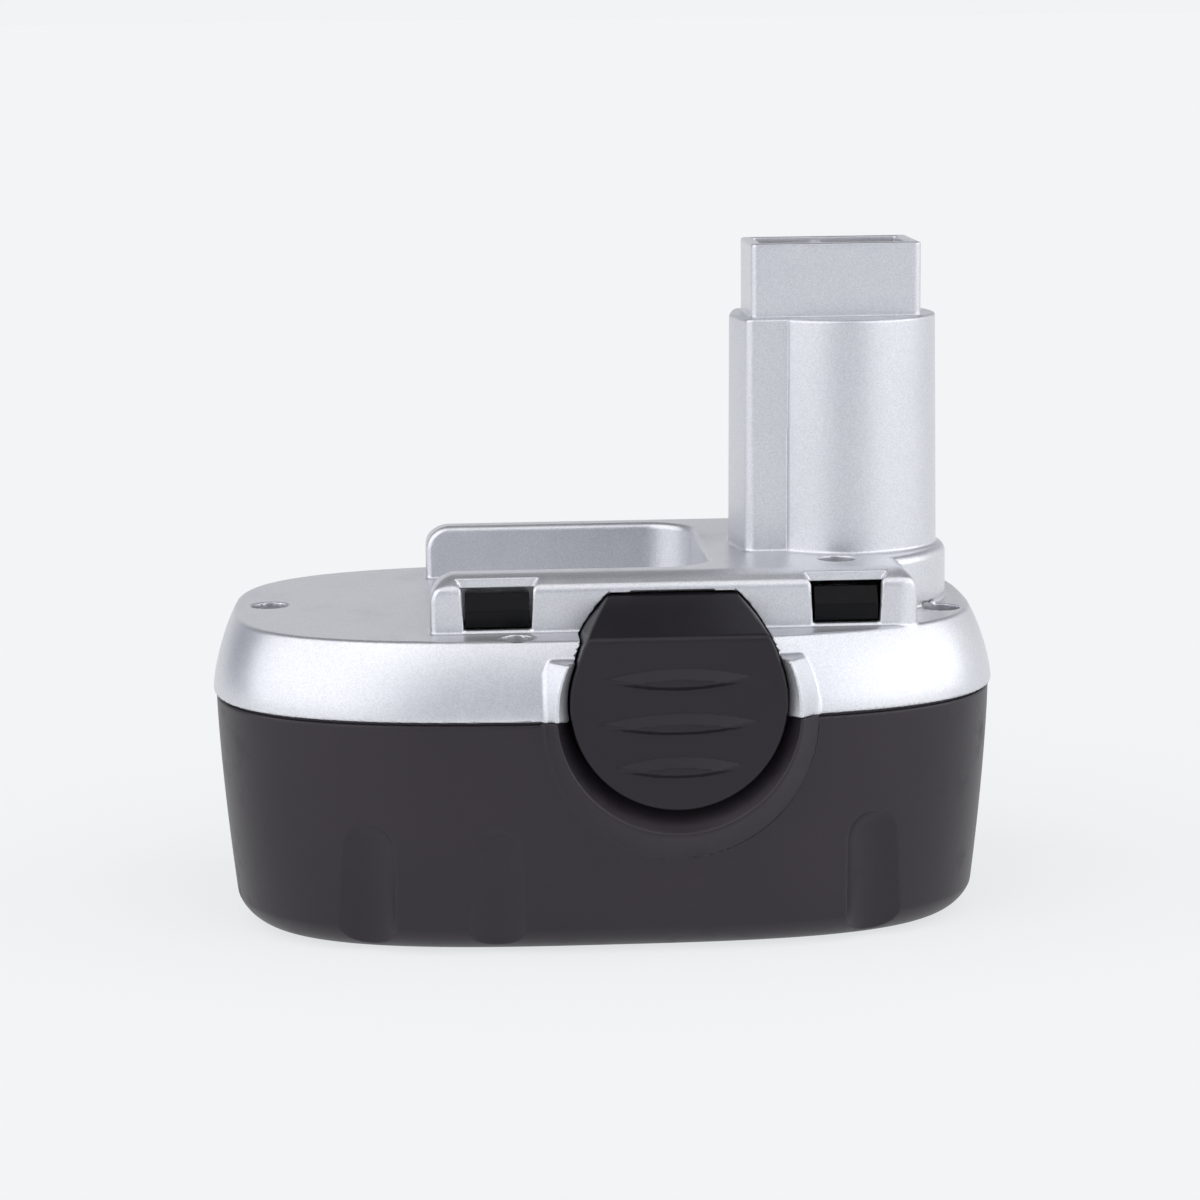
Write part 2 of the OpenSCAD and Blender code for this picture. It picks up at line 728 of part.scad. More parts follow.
// Centre of the wire on the return spring, as a fraction of its length
function spring_point(u) = let (r = (spring_diameter - spring_wire) / 2,
    turn = 360 * spring_curls * u,
    rise = spring_wire / 2 + (spring_length - spring_wire) * u)
    [r * cos(turn), r * sin(turn), rise];

function spring_side(u) = let (turn = 360 * spring_curls * u) [cos(turn), sin(turn), 0];

// Return spring: one unbroken wire
module spring() {
    rings = spring_curls * 8;
    points = [for (k = [0:rings]) for (i = [0:5])
        spring_point(k / rings) +
            spring_wire / 2 * (cos(60 * i) * spring_side(k / rings) + [0, 0, sin(60 * i)])];
    sides = [for (k = [0:rings - 1]) for (i = [0:5]) let (j = (i + 1) % 6)
        each [[k * 6 + i, k * 6 + j, (k + 1) * 6 + i], [k * 6 + j, (k + 1) * 6 + j, (k + 1) * 6 + i]]];
    caps = concat([for (i = [1:4]) [0, i + 1, i]],
                  [for (i = [1:4]) [rings * 6, rings * 6 + i, rings * 6 + i + 1]]);
    color("lightgray") translate([catch_offset, -seat_front - rest_gap, spring_height]) rotate([90, 0, 0])
        polyhedron(points, concat(sides, caps));
}

spring_pitch_gap = min([for (k = [0:spring_curls * 8 - 8])
    norm(spring_point((k + 8) / (spring_curls * 8)) - spring_point(k / (spring_curls * 8)))]) - spring_wire;
echo(spring_gap = spring_pitch_gap);

module screw(length) {
    translate([0, 0, -length]) cylinder(d = screw_diameter, h = length, $fn = 32);
    difference() {
        cylinder(d = screw_head, h = screw_head_height, $fn = 48);
        for (a = [0, 90]) rotate(a) translate([-1.6, -0.4, screw_head_height - 1.2]) cube([3.2, 0.8, 2]);
    }
}

module case_screws() {
    color("slategray") for (p = deck_screws) translate([p[0], p[1], deck_sink_floor])
        screw(deck_sink_floor - seam_height + case_screw_length - 4);
}

module carrier_screws() {
    color("slategray") for (p = carrier_screw_places) translate([p[0], p[1], carrier_sink_floor])
        screw(carrier_screw_length);
}

// Carrier under the foot: holds the stem cell and takes the two screws in front of and behind the stem
module stem_carrier() {
    color("#303034") difference() {
        union() {
            translate([stem_offset, 0, carrier_base])
                cylinder(r = stem_cell_radius - 0.6, h = carrier_top - carrier_base, $fn = 64);
            for (p = carrier_screw_places) {
                translate([p[0], p[1], plate_base])
                    cylinder(r = post_radius, h = carrier_top - plate_base, $fn = 48);
                translate([p[0] - 2.5, min(0, p[1]), carrier_top - 2.4]) cube([5, abs(p[1]), 2.4]);
            }
        }
        translate([stem_offset, 0, carrier_base - 1])
            cylinder(r = stem_cell_radius - 2.6, h = carrier_top - carrier_base - 1.4, $fn = 64);
        for (p = carrier_screw_places) translate([p[0], p[1], plate_base - 1])
            cylinder(d = screw_diameter + 2 * thread_gap, h = carrier_top - plate_base + 2, $fn = 48);
    }
}

// A cell: sleeve, rolled rim and button top
module cell_body(radius, base, top) {
    translate([0, 0, base]) {
        cylinder(r = radius, h = top - base - 0.8, $fn = 64);
        cylinder(r = radius - 1.2, h = top - base - 0.3, $fn = 64);
        cylinder(r = 4.6, h = top - base, $fn = 48);
    }
}

module cell(i) {
    color("seagreen") translate([cell_places[i][0], cell_places[i][1], 0])
        cell_body(cell_radius, cell_base, cell_top);
}

module stem_cell() {
    color("seagreen") translate([stem_offset, 0, 0])
        cell_body(stem_cell_radius, stem_cell_base, stem_cell_top);
}

module link_strip(a, b, z) {
    d = b - a;
    translate([a[0], a[1], z]) rotate(atan2(d[1], d[0])) translate([-link_width / 2, -link_width / 2, 0])
        cube([norm(d) + link_width, link_width, link_thickness]);
}

module bottom_links() {
    color("gainsboro") for (p = bottom_pairs)
        link_strip(cell_places[p[0]], cell_places[p[1]], cell_base - link_thickness);
}

module top_links() {
    color("gainsboro") {
        for (p = top_pairs) link_strip(cell_places[p[0]], cell_places[p[1]], cell_top);
        link_strip(cell_places[13], [lead_x, 0], cell_top);
    }
}

// Links on the stem cell: a strap from the base cells to its foot, a strip from its top to the contact
module stem_links() {
    base = stem_cell_base - link_thickness;
    color("gainsboro") {
        translate([strap_x, -strap_y, base]) cube([strap_width, strap_y, link_thickness]);
        translate([strap_x, -strap_y, cell_top])
            cube([strap_width, link_thickness, base - cell_top + link_thickness]);
        translate([strap_x, -row_pitch - 2, cell_top])
            cube([strap_width, row_pitch + 2 - strap_y + link_thickness, link_thickness]);
        translate([negative_tail + contact_thickness, -2, stem_cell_top])
            cube([stem_offset + 3 - negative_tail - contact_thickness, 4, link_thickness]);
    }
}

module pad_outline(inset) {
    difference() {
        polygon(oval(inset, 72));
        for (p = deck_screws) translate(p) circle(sink_post + 0.4, $fn = 32);
        for (side = [-1, 1]) translate([catch_offset, side * (seat_front + 5)])
            square([seat_width + 1, 13.4], center = true);
    }
}

module foam_pad() {
    color("#3a3a3a") translate([0, 0, case_floor]) linear_extrude(foam_thickness)
        pad_outline(sheet_inset + 0.4);
}

module bottom_sheet() {
    color("#c9b78a") translate([0, 0, foam_top]) linear_extrude(sheet_thickness) pad_outline(sheet_inset);
}

module top_sheet() {
    color("#c9b78a") translate([0, 0, sheet_base]) linear_extrude(sheet_thickness) difference() {
        pad_outline(sheet_inset);
        translate([lead_x, 0]) circle(lead_diameter / 2 + 0.5, $fn = 32);
        translate([strap_x - 0.5, -strap_y - 1]) square([strap_width + 1, link_thickness + 2]);
    }
}

// Black block that plugs the bottom of the head and holds the contacts
module terminal_block() {
    color("#202022") difference() {
        union() {
            translate([head_offset - socket_half_length - 0.4, -block_half_width, block_base])
                cube([2 * socket_half_length + 0.8, 2 * block_half_width, block_flange]);
            translate([head_offset - socket_half_length + rest_gap,
                       -socket_half_width + rest_gap, block_base])
                cube([2 * (socket_half_length - rest_gap), 2 * (socket_half_width - rest_gap),
                      socket_floor - block_base]);
        }
        for (t = [negative_tail, positive_tail]) translate([t - rest_gap, -1.5 - rest_gap, block_base - 1])
            cube([contact_thickness + 2 * rest_gap, 3 + 2 * rest_gap, 10]);
        translate([sense_x - rest_gap, -5.5 - rest_gap, block_base - 1])
            cube([contact_thickness + 2 * rest_gap, 2 + 2 * rest_gap, 10]);
        // notch in which the positive lead meets its contact
        translate([lead_x, 0, block_base - 1])
            cylinder(d = lead_diameter + 2 * rest_gap, h = lead_top + rest_gap - block_base + 1, $fn = 32);
    }
}

// A contact: two leaves along the socket walls, a strip between them and a tail through the block
module contact(middle, tail, foot) {
    reach = socket_half_width - 2 * rest_gap;
    for (s = [-1, 1]) translate([middle - leaf_width / 2,
        s > 0 ? reach - contact_thickness : -reach, socket_floor])
        cube([leaf_width, contact_thickness, leaf_height]);
    translate([middle - 2, -reach, socket_floor]) cube([4, 2 * reach, contact_thickness]);
    translate([min(tail, middle), -1.5, socket_floor])
        cube([abs(tail - middle) + (tail > middle ? contact_thickness : 0), 3, contact_thickness]);
    translate([tail, -1.5, foot]) cube([contact_thickness, 3, socket_floor - foot + 0.1]);
}

module negative_contact() {
    color("gold") contact(negative_middle, negative_tail, tail_foot);
}

module positive_contact() {
    color("gold") contact(positive_middle, positive_tail, block_base + 0.1);
}

// Contact for the temperature sensor, one narrow leaf in the corner of the left socket
module sense_contact() {
    color("gold") translate([sense_x, -5.5, tail_foot])
        cube([contact_thickness, 2, socket_floor - tail_foot + 7]);
}

// A lead that runs straight down the stem
module lead(place, d, low, high) {
    translate([place[0], place[1], low]) cylinder(d = d, h = high - low, $fn = 32);
}

module positive_lead() {
    color("firebrick") lead([lead_x, 0], lead_diameter, sheet_base, lead_top);
}

module sense_lead() {
    color("ivory") lead([sense_x - sense_diameter / 2, -4.5], sense_diameter,
        sheet_top + bead_diameter, block_base - rest_gap);
}

// Temperature sensor, a bead on the end of its lead that lies on the top sheet
module thermistor() {
    color("#202020") translate([sense_x - sense_diameter / 2, -4.5, sheet_top + bead_diameter / 2])
        sphere(d = bead_diameter, $fn = 32);
}

lower_case();
upper_cover();
catch_side(-1) button();  // front_button
catch_side(1) button();  // rear_button
catch_side(-1) latch();  // front_latch
catch_side(1) latch();  // rear_latch
catch_side(-1) spring();  // front_spring
catch_side(1) spring();  // rear_spring
case_screws();
carrier_screws();
stem_carrier();
terminal_block();
negative_contact();
positive_contact();
sense_contact();
positive_lead();
sense_lead();
thermistor();
stem_cell();
stem_links();
foam_pad();
bottom_sheet();
top_sheet();
bottom_links();
top_links();
for (i = [1:14]) cell(i - 1);
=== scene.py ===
"""Stem type battery pack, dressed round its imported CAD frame.

Sizes are written in millimetres, as in the part's source, and turned into metres when a mesh is made.
The two mouldings and the button caps are surfaces where a distance field is zero: the field is worked
out with numpy on whole arrays, each corner in it carries its own fillet radius, and the mesh is laid on it.
"""

import json
import logging
import math
from dataclasses import dataclass
from enum import Enum
from typing import Callable

import bpy
import numpy as np
from mathutils import Matrix, Vector

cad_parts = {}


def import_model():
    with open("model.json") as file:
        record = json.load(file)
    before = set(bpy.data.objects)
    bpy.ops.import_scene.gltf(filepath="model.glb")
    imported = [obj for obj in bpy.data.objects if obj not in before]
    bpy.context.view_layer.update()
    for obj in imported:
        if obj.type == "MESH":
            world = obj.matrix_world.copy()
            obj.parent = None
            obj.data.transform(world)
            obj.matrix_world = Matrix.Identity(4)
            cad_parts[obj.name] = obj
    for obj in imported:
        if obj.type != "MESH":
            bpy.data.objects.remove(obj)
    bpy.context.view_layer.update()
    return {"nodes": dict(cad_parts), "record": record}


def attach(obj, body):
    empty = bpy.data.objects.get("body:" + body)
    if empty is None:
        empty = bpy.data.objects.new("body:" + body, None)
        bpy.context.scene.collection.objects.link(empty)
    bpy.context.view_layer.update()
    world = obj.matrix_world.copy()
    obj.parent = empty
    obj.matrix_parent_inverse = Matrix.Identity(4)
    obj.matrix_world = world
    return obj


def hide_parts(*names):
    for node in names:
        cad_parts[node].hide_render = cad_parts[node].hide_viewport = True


LOG = logging.getLogger("battery_pack")
MILLIMETRE = 0.001
STEPS = (0.45, 0.28)  # Cells of the search grid for the mouldings and for the caps, in millimetres.
FAR = 100.0  # A distance in millimetres that no shape reaches.
Points = np.ndarray
Field = Callable[[Points], np.ndarray]


class Body(Enum):
    """The CAD bodies that pieces ride on."""

    PACK = "pack"
    FRONT_CATCH = "front_catch"
    REAR_CATCH = "rear_catch"


# ---------------------------------------------------------------- distance fields


def both(a: np.ndarray, b: np.ndarray, radius: float = 0.0) -> np.ndarray:
    """Distance to what two shapes share, with a fillet on the edge where they meet.

    Inside the corner the two distances are taken as the legs of a right angle round the fillet's centre.

    Args:
        a: Distance to the first shape, negative inside.
        b: Distance to the second shape.
        radius: Fillet radius in millimetres, 0 for a sharp edge.

    Returns:
        The distance at each point.
    """
    if radius <= 0:
        return np.maximum(a, b)
    legs = np.hypot(np.maximum(a + radius, 0), np.maximum(b + radius, 0))
    return np.minimum(-radius, np.maximum(a, b)) + legs


def either(a: np.ndarray, b: np.ndarray, radius: float = 0.0) -> np.ndarray:
    """Distance to two shapes joined together, with a fillet of that radius in the corner between them."""
    return -both(-a, -b, radius)


def without(a: np.ndarray, b: np.ndarray, radius: float = 0.0) -> np.ndarray:
    """Distance to the first shape with the second cut out of it, the cut's rim rounded to that radius."""
    return both(a, -b, radius)


def rectangle(u: np.ndarray, v: np.ndarray, half_u: float, half_v: float, radius: float) -> np.ndarray:
    """Distance in a plane to a rectangle about the origin with rounded corners.

    It is the length of what sticks out past the corner's centre, less the corner radius.

    Args:
        u: First coordinate.
        v: Second coordinate.
        half_u: Half its size along the first.
        half_v: Half its size along the second.
        radius: Radius of its corners.

    Returns:
        The distance at each point, negative inside.
    """
    out_u = np.abs(u) - (half_u - radius)
    out_v = np.abs(v) - (half_v - radius)
    outside = np.hypot(np.maximum(out_u, 0), np.maximum(out_v, 0))
    return outside + np.minimum(np.maximum(out_u, out_v), 0) - radius


def squared_oval(
    x: np.ndarray, y: np.ndarray, half_x: np.ndarray, half_y: np.ndarray, power: float
) -> np.ndarray:
    """Distance in a plane to the oval |x/a|^n + |y/b|^n = 1.

    The nth root of the left side grows evenly along every ray, so one less than it, over the length of
    its gradient, is the distance close to the oval.

    Args:
        x: First coordinate.
        y: Second coordinate.
        half_x: Half its length.
        half_y: Half its width.
        power: The n of the formula.

    Returns:
        The distance at each point, negative inside.
    """
    u = np.abs(x) / half_x
    v = np.abs(y) / half_y
    root = np.maximum(u**power + v**power, 1e-9) ** (1 / power)
    slope = np.hypot((u / root) ** (power - 1) / half_x, (v / root) ** (power - 1) / half_y)
    return (root - 1) / slope


def capsule(points: Points, foot: np.ndarray, way: np.ndarray, length: float, radius: float) -> np.ndarray:
    """Distance to a round bar with ball ends that starts at foot and runs along the unit vector way.

    Args:
        points: Places in millimetres.
        foot: Centre of the first ball end.
        way: Direction of the bar.
        length: Distance between the balls' centres.
        radius: Radius of the bar.

    Returns:
        The distance at each point, negative inside.
    """
    from_foot = points - foot
    along = np.clip(from_foot @ way, 0, length)
    return np.linalg.norm(from_foot - along[:, None] * way, axis=1) - radius


def leaning_cone(
    x: np.ndarray,
    depth: np.ndarray,
    z: np.ndarray,
    start: tuple[float, float],
    end: tuple[float, float],
    length: float,
) -> np.ndarray:
    """Distance to the wall of a cone whose circle moves down or up as it goes deeper.

    At each depth the wall is a circle: its radius and the height of its centre run evenly from start to end.
    The plain distance is divided by the wall's steepness so that it stays true.

    Args:
        x: Sideways distance from the cone's middle.
        depth: Distance along the cone, 0 at its start.
        z: Height.
        start: Height of the centre and radius at depth 0.
        end: Height of the centre and radius at the far end.
        length: Depth of the far end.

    Returns:
        The distance at each point, negative inside the cone.
    """
    share = depth / length
    centre = start[0] + (end[0] - start[0]) * share
    radius = start[1] + (end[1] - start[1]) * share
    reach = np.hypot(x, z - centre)
    drift = (end[0] - start[0]) / length * (z - centre)
    lean = (end[1] - start[1]) / length + drift / np.maximum(reach, 1e-6)
    return (reach - radius) / np.hypot(1, lean)


# ---------------------------------------------------------------- mesh on a field


@dataclass(frozen=True)
class FieldMesher:
    """Lays a mesh on the surface where a distance field is zero.

    Attributes:
        low: Lowest corner of the space that is searched, in millimetres.
        high: Highest corner of that space.
        step: Size of the search grid's cells.
        limit: Most triangles that the finished mesh may have.
    """

    low: tuple[float, float, float]
    high: tuple[float, float, float]
    step: float
    limit: int = 195_000

    BLOCK = 8  # Cells along the side of a block.
    BATCH = 768  # Blocks that are sampled at a time.
    MARGIN = 1.25  # How much further than its corners a block is searched.
    PROBE = 0.04  # Half the distance over which a gradient is taken, in millimetres.
    LAST_MOVE = 0.05  # Longest move of a point after thinning, in millimetres.
    LEAST_SLOPE = 0.5  # Smallest squared gradient that a step is divided by.

    def samples(self, distance: Field) -> tuple[np.ndarray, np.ndarray]:
        """The field on the grid. Blocks of cells that lie well clear of the surface get only its sign.

        Args:
            distance: The distance field.

        Returns:
            The grid's first corner, and the field's values on the grid.
        """
        low = np.array(self.low)
        blocks = np.ceil((np.array(self.high) - low) / (self.step * self.BLOCK)).astype(int)
        middles = np.stack(np.meshgrid(*[np.arange(n) for n in blocks], indexing="ij"), -1).reshape(-1, 3)
        at_middle = distance(low + (middles + 0.5) * self.step * self.BLOCK)
        reach = self.step * self.BLOCK * math.sqrt(3) / 2 * self.MARGIN
        grid = np.where(at_middle < 0, -1.0, 1.0).astype(np.float32)
        values = np.repeat(grid[:, None], self.BLOCK**3, axis=1)
        near = np.flatnonzero(np.abs(at_middle) < reach)
        inner = np.stack(np.meshgrid(*[np.arange(self.BLOCK)] * 3, indexing="ij"), -1).reshape(-1, 3)
        for first in range(0, len(near), self.BATCH):
            some = near[first : first + self.BATCH]
            places = low + (middles[some][:, None, :] * self.BLOCK + inner[None]) * self.step
            values[some] = distance(places.reshape(-1, 3)).reshape(len(some), -1)
        shaped = values.reshape(*blocks, self.BLOCK, self.BLOCK, self.BLOCK).transpose(0, 3, 1, 4, 2, 5)
        return low, np.ascontiguousarray(shaped).reshape(blocks * self.BLOCK)

    def net(self, distance: Field) -> tuple[np.ndarray, np.ndarray]:
        """One point in each cell that the surface crosses, and one face round each grid edge that it crosses.

        Args:
            distance: The distance field.

        Returns:
            Points in millimetres, and faces of four points each that turn their outside outwards.
        """
        low, values = self.samples(distance)
        inside = values < 0
        corners = [(i, j, k) for i in (0, 1) for j in (0, 1) for k in (0, 1)]
        size = [n - 1 for n in values.shape]
        part = [inside[i : i + size[0], j : j + size[1], k : k + size[2]] for i, j, k in corners]
        crossed = np.logical_or.reduce(part) & ~np.logical_and.reduce(part)
        cells = np.argwhere(crossed)
        index = np.full(crossed.shape, -1, np.int32)
        index[crossed] = np.arange(len(cells))
        total = np.zeros((len(cells), 3))
        count = np.zeros(len(cells))
        for a in corners:
            for axis in range(3):
                if a[axis]:
                    continue
                b = tuple(1 if n == axis else a[n] for n in range(3))
                at_a = values[tuple((cells + a).T)]
                at_b = values[tuple((cells + b).T)]
                cut = (at_a < 0) != (at_b < 0)
                share = np.where(cut, at_a / np.where(cut, at_a - at_b, 1), 0)
                place = np.array(a, float) + share[:, None] * np.eye(3)[axis]
                total += place * cut[:, None]
                count += cut
        points = low + (cells + total / count[:, None]) * self.step
        faces = []
        for axis in range(3):
            one, two = (axis + 1) % 3, (axis + 2) % 3
            ahead = [slice(0, -1) if n == axis else slice(None) for n in range(3)]
            behind = [slice(1, None) if n == axis else slice(None) for n in range(3)]
            lower = inside[tuple(ahead)]
            edges = np.argwhere(lower != inside[tuple(behind)])
            edges = edges[(edges[:, one] > 0) & (edges[:, two] > 0)]
            edges = edges[(edges[:, one] < size[one]) & (edges[:, two] < size[two])]
            ring = []
            for du, dv in ((-1, -1), (0, -1), (0, 0), (-1, 0)):
                cell = edges.copy()
                cell[:, one] += du
                cell[:, two] += dv
                ring.append(index[tuple(cell.T)])
            quad = np.stack(ring, 1)
            out = lower[tuple(edges.T)]
            faces.append(np.where(out[:, None], quad, quad[:, ::-1]))
        return points, np.concatenate(faces)

    def slope(self, distance: Field, points: Points) -> np.ndarray:
        """The field's gradient at the points, from its values a little to both sides along each axis."""
        change = [distance(points + self.PROBE * e) - distance(points - self.PROBE * e) for e in np.eye(3)]
        return np.stack(change, 1) / (2 * self.PROBE)

    def settle(
        self, distance: Field, points: Points, rounds: int, reach: float
    ) -> tuple[np.ndarray, np.ndarray]:
        """Moves points down the field's gradient onto the surface.

        Args:
            distance: The distance field.
            points: Points near the surface, in millimetres.
            rounds: How often the step is repeated.
            reach: Longest single step, in millimetres.

        Returns:
            The moved points and the surface's outward unit normals there.
        """
        for _ in range(rounds):
            way = self.slope(distance, points)
            step = distance(points) / np.maximum((way**2).sum(1), self.LEAST_SLOPE)
            points = points - np.clip(step, -reach, reach)[:, None] * way
        way = self.slope(distance, points)
        return points, way / np.maximum(np.linalg.norm(way, axis=1, keepdims=True), 1e-6)

    def build(self, name: str, distance: Field) -> bpy.types.Object:
        """Makes an object whose mesh lies on the surface, thinned on its flat parts.

        Args:
            name: Name of the new object.
            distance: The distance field.

        Returns:
            The object, at the origin, with smooth normals taken from the field.
        """
        points, faces = self.net(distance)
        points, _ = self.settle(distance, points, 2, self.step / 2)
        mesh = mesh_from(name, points * MILLIMETRE, faces)
        piece = bpy.data.objects.new(name, mesh)
        bpy.context.scene.collection.objects.link(piece)
        triangles = 2 * len(faces)
        if triangles > self.limit:
            thin = piece.modifiers.new("thin", "DECIMATE")
            thin.ratio = self.limit / triangles
            apply_modifiers(piece)
        mesh = piece.data
        flat = np.empty(len(mesh.vertices) * 3)
        mesh.vertices.foreach_get("co", flat)
        points, normals = self.settle(distance, flat.reshape(-1, 3) / MILLIMETRE, 1, self.LAST_MOVE)
        mesh.vertices.foreach_set("co", (points * MILLIMETRE).ravel())
        mesh.shade_smooth()
        mesh.update()
        mesh.normals_split_custom_set_from_vertices(normals.tolist())
        return piece


def mesh_from(name: str, points: np.ndarray, faces: np.ndarray) -> bpy.types.Mesh:
    """A mesh from points in metres and faces that all have the same number of corners.

    Args:
        name: Name of the new mesh.
        points: Its points in metres.
        faces: Point numbers of each face.

    Returns:
        The mesh.
    """
    mesh = bpy.data.meshes.new(name)
    corners = faces.shape[1]
    mesh.vertices.add(len(points))
    mesh.vertices.foreach_set("co", points.astype(np.float32).ravel())
    mesh.loops.add(faces.size)
    mesh.loops.foreach_set("vertex_index", faces.astype(np.int32).ravel())
    mesh.polygons.add(len(faces))
    mesh.polygons.foreach_set("loop_start", np.arange(0, faces.size, corners, dtype=np.int32))
    mesh.update(calc_edges=True)
    mesh.validate()
    return mesh


def lofted(name: str, rings: np.ndarray) -> bpy.types.Object:
    """A closed object from equal rings of points: each ring is joined to the next, the ends are capped.

    Args:
        name: Name of the new object.
        rings: Points in millimetres, by ring and place in the ring, that run so that faces turn outwards.

    Returns:
        The object, at the origin.
    """
    count, around = rings.shape[:2]
    first = (np.arange(count - 1)[:, None] * around + np.arange(around)).ravel()
    beside = (np.arange(count - 1)[:, None] * around + (np.arange(around) + 1) % around).ravel()
    quads = np.stack([first, first + around, beside + around, beside], 1).tolist()
    caps = [list(range(around)), [count * around - 1 - i for i in range(around)]]
    mesh = bpy.data.meshes.new(name)
    mesh.from_pydata((rings.reshape(-1, 3) * MILLIMETRE).tolist(), [], quads + caps)
    piece = bpy.data.objects.new(name, mesh)
    bpy.context.scene.collection.objects.link(piece)
    return piece


def apply_modifiers(piece: bpy.types.Object) -> None:
    """Puts the result of a piece's modifiers into its mesh and takes the modifiers off.

    Args:
        piece: The object.
    """
    graph = bpy.context.evaluated_depsgraph_get()
    graph.update()
    mesh = bpy.data.meshes.new_from_object(piece.evaluated_get(graph))
    piece.modifiers.clear()
    piece.data = mesh


# ---------------------------------------------------------------- sizes


@dataclass(frozen=True)
class PackSizes:
    """Sizes that several sub-assemblies share, in millimetres, as in the part's source."""

    half_length: float = 68.0
    half_width: float = 43.5
    power: float = 3.0
    seam: float = 40.5
    deck: float = 53.4
    rail_top: float = 63.0
    stem_top: float = 103.3
    head_top: float = 116.0
    catch: float = 10.2
    button_height: float = 43.3
    button_radius: float = 18.0
    button_gap: float = 0.28
    rail_half: float = 32.2
    box_half_width: float = 46.5
    box_margin: float = 1.0

    def oval(self, points: Points, inset: np.ndarray | float) -> np.ndarray:
        """Distance to the pack's upright oval wall, set in from its widest outline by inset."""
        return squared_oval(
            points[:, 0], points[:, 1], self.half_length - inset, self.half_width - inset, self.power
        )


@dataclass(frozen=True)
class Catch:
    """The round boss, funnel and button outline, seen on the front or, mirrored, on the rear."""

    sizes: PackSizes
    crease: float = 54.4
    top: float = 59.7
    flank_foot: float = 49.0
    half_at_flank: float = 17.07
    half_at_crease: float = 15.3
    half_at_middle: float = 13.4
    half_at_top: float = 10.9
    ridge_face: float = 45.1
    ridge: tuple[float, float] = (41.3, 20.3)
    foot: tuple[float, float] = (39.9, 23.5)
    foot_face: float = 41.6
    funnel_mouth: tuple[float, float] = (41.3, 20.5)
    funnel_throat: tuple[float, float] = (43.3, 18.0)
    mouth_lead: float = 0.5
    back: float = 37.4
    corner: float = 1.0
    top_edge: float = 0.4
    ridge_edge: float = 0.35

    def outline(self, points: Points, grow: float) -> np.ndarray:
        """Distance in the X and Z plane to the button's outline: a circle joined to a tapering tongue.

        Args:
            points: Places in millimetres.
            grow: How far the outline is moved outwards.

        Returns:
            The distance at each point, negative inside.
        """
        sizes = self.sizes
        side = np.abs(points[:, 0] - sizes.catch)
        up = points[:, 2]
        circle = np.hypot(side, up - sizes.button_height) - sizes.button_radius
        middle = (self.crease + self.top) / 2
        lower = slanted(side, up, (self.half_at_crease, self.crease), (self.half_at_middle, middle))
        upper = slanted(side, up, (self.half_at_middle, middle), (self.half_at_top, self.top))
        flank = slanted(side, up, (self.half_at_flank, self.flank_foot), (self.half_at_crease, self.crease))
        tongue = both(both(flank, lower, self.corner), upper, self.corner)
        tongue = both(both(tongue, up - self.top, self.top_edge), self.flank_foot - up)
        return both(np.minimum(circle, tongue) - grow, up - self.top - grow, self.top_edge)

    def boss(self, points: Points) -> np.ndarray:
        """Distance to the boss: a leaning cone that stands out of the wall, cut flat at its ridge.

        Args:
            points: Places in millimetres.

        Returns:
            The distance at each point, negative inside.
        """
        sizes = self.sizes
        out = np.abs(points[:, 1])
        side = points[:, 0] - sizes.catch
        cone = leaning_cone(
            side,
            self.ridge_face - out,
            points[:, 2],
            self.ridge,
            self.foot,
            self.ridge_face - self.foot_face,
        )
        skirt = np.hypot(side, points[:, 2] - self.foot[0]) - self.foot[1]
        body = np.where(out < self.foot_face, np.maximum(cone, skirt), cone)
        return both(both(body, out - self.ridge_face, self.ridge_edge), self.back - out)

    def funnel(self, points: Points, funnel_depth: float) -> np.ndarray:
        """Distance to the funnel that leads in to the button, open to the outside.

        Args:
            points: Places in millimetres.
            funnel_depth: How far in from the ridge it runs.

        Returns:
            The distance, negative in the funnel.
        """
        out = np.abs(points[:, 1])
        side = points[:, 0] - self.sizes.catch
        mouth = self.ridge_face + self.mouth_lead
        cone = leaning_cone(
            side,
            mouth - out,
            points[:, 2],
            self.funnel_mouth,
            self.funnel_throat,
            funnel_depth + self.mouth_lead,
        )
        return both(cone, self.ridge_face - funnel_depth - out)

    def opening(self, points: Points, depth: float) -> np.ndarray:
        """Distance to the hole that the button slides in, from outside to Y = depth."""
        return np.maximum(self.outline(points, self.sizes.button_gap), depth - np.abs(points[:, 1]))


def slanted(u: np.ndarray, v: np.ndarray, a: tuple[float, float], b: tuple[float, float]) -> np.ndarray:
    """Distance in a plane to the line from a up to b, positive on its right."""
    length = math.hypot(b[0] - a[0], b[1] - a[1])
    return ((u - a[0]) * (b[1] - a[1]) - (v - a[1]) * (b[0] - a[0])) / length


# ---------------------------------------------------------------- finishes


class Nodes:
    """Short hand for building a shader's node tree."""

    def __init__(self, tree: bpy.types.NodeTree) -> None:
        """Keeps the tree."""
        self.tree = tree

    def add(self, kind: str, inputs: dict | None = None, **settings: object) -> bpy.types.Node:
        """Adds a node, sets its properties and sets or links its inputs.

        Args:
            kind: Blender's name for the node type.
            inputs: Values or output sockets by input name or number.
            **settings: Properties of the node.

        Returns:
            The new node.
        """
        node = self.tree.nodes.new(kind)
        for key, value in settings.items():
            setattr(node, key, value)
        for key, value in (inputs or {}).items():
            if isinstance(value, bpy.types.NodeSocket):
                self.tree.links.new(value, node.inputs[key])
            else:
                node.inputs[key].default_value = value
        return node

    def ramp(
        self, source: bpy.types.NodeSocket, low: float, high: float, start: float, end: float
    ) -> bpy.types.NodeSocket:
        """Maps a value from the range low to high onto start to end, held at both ends."""
        node = self.add("ShaderNodeMapRange", {"Value": source, 1: low, 2: high, 3: start, 4: end})
        return node.outputs[0]


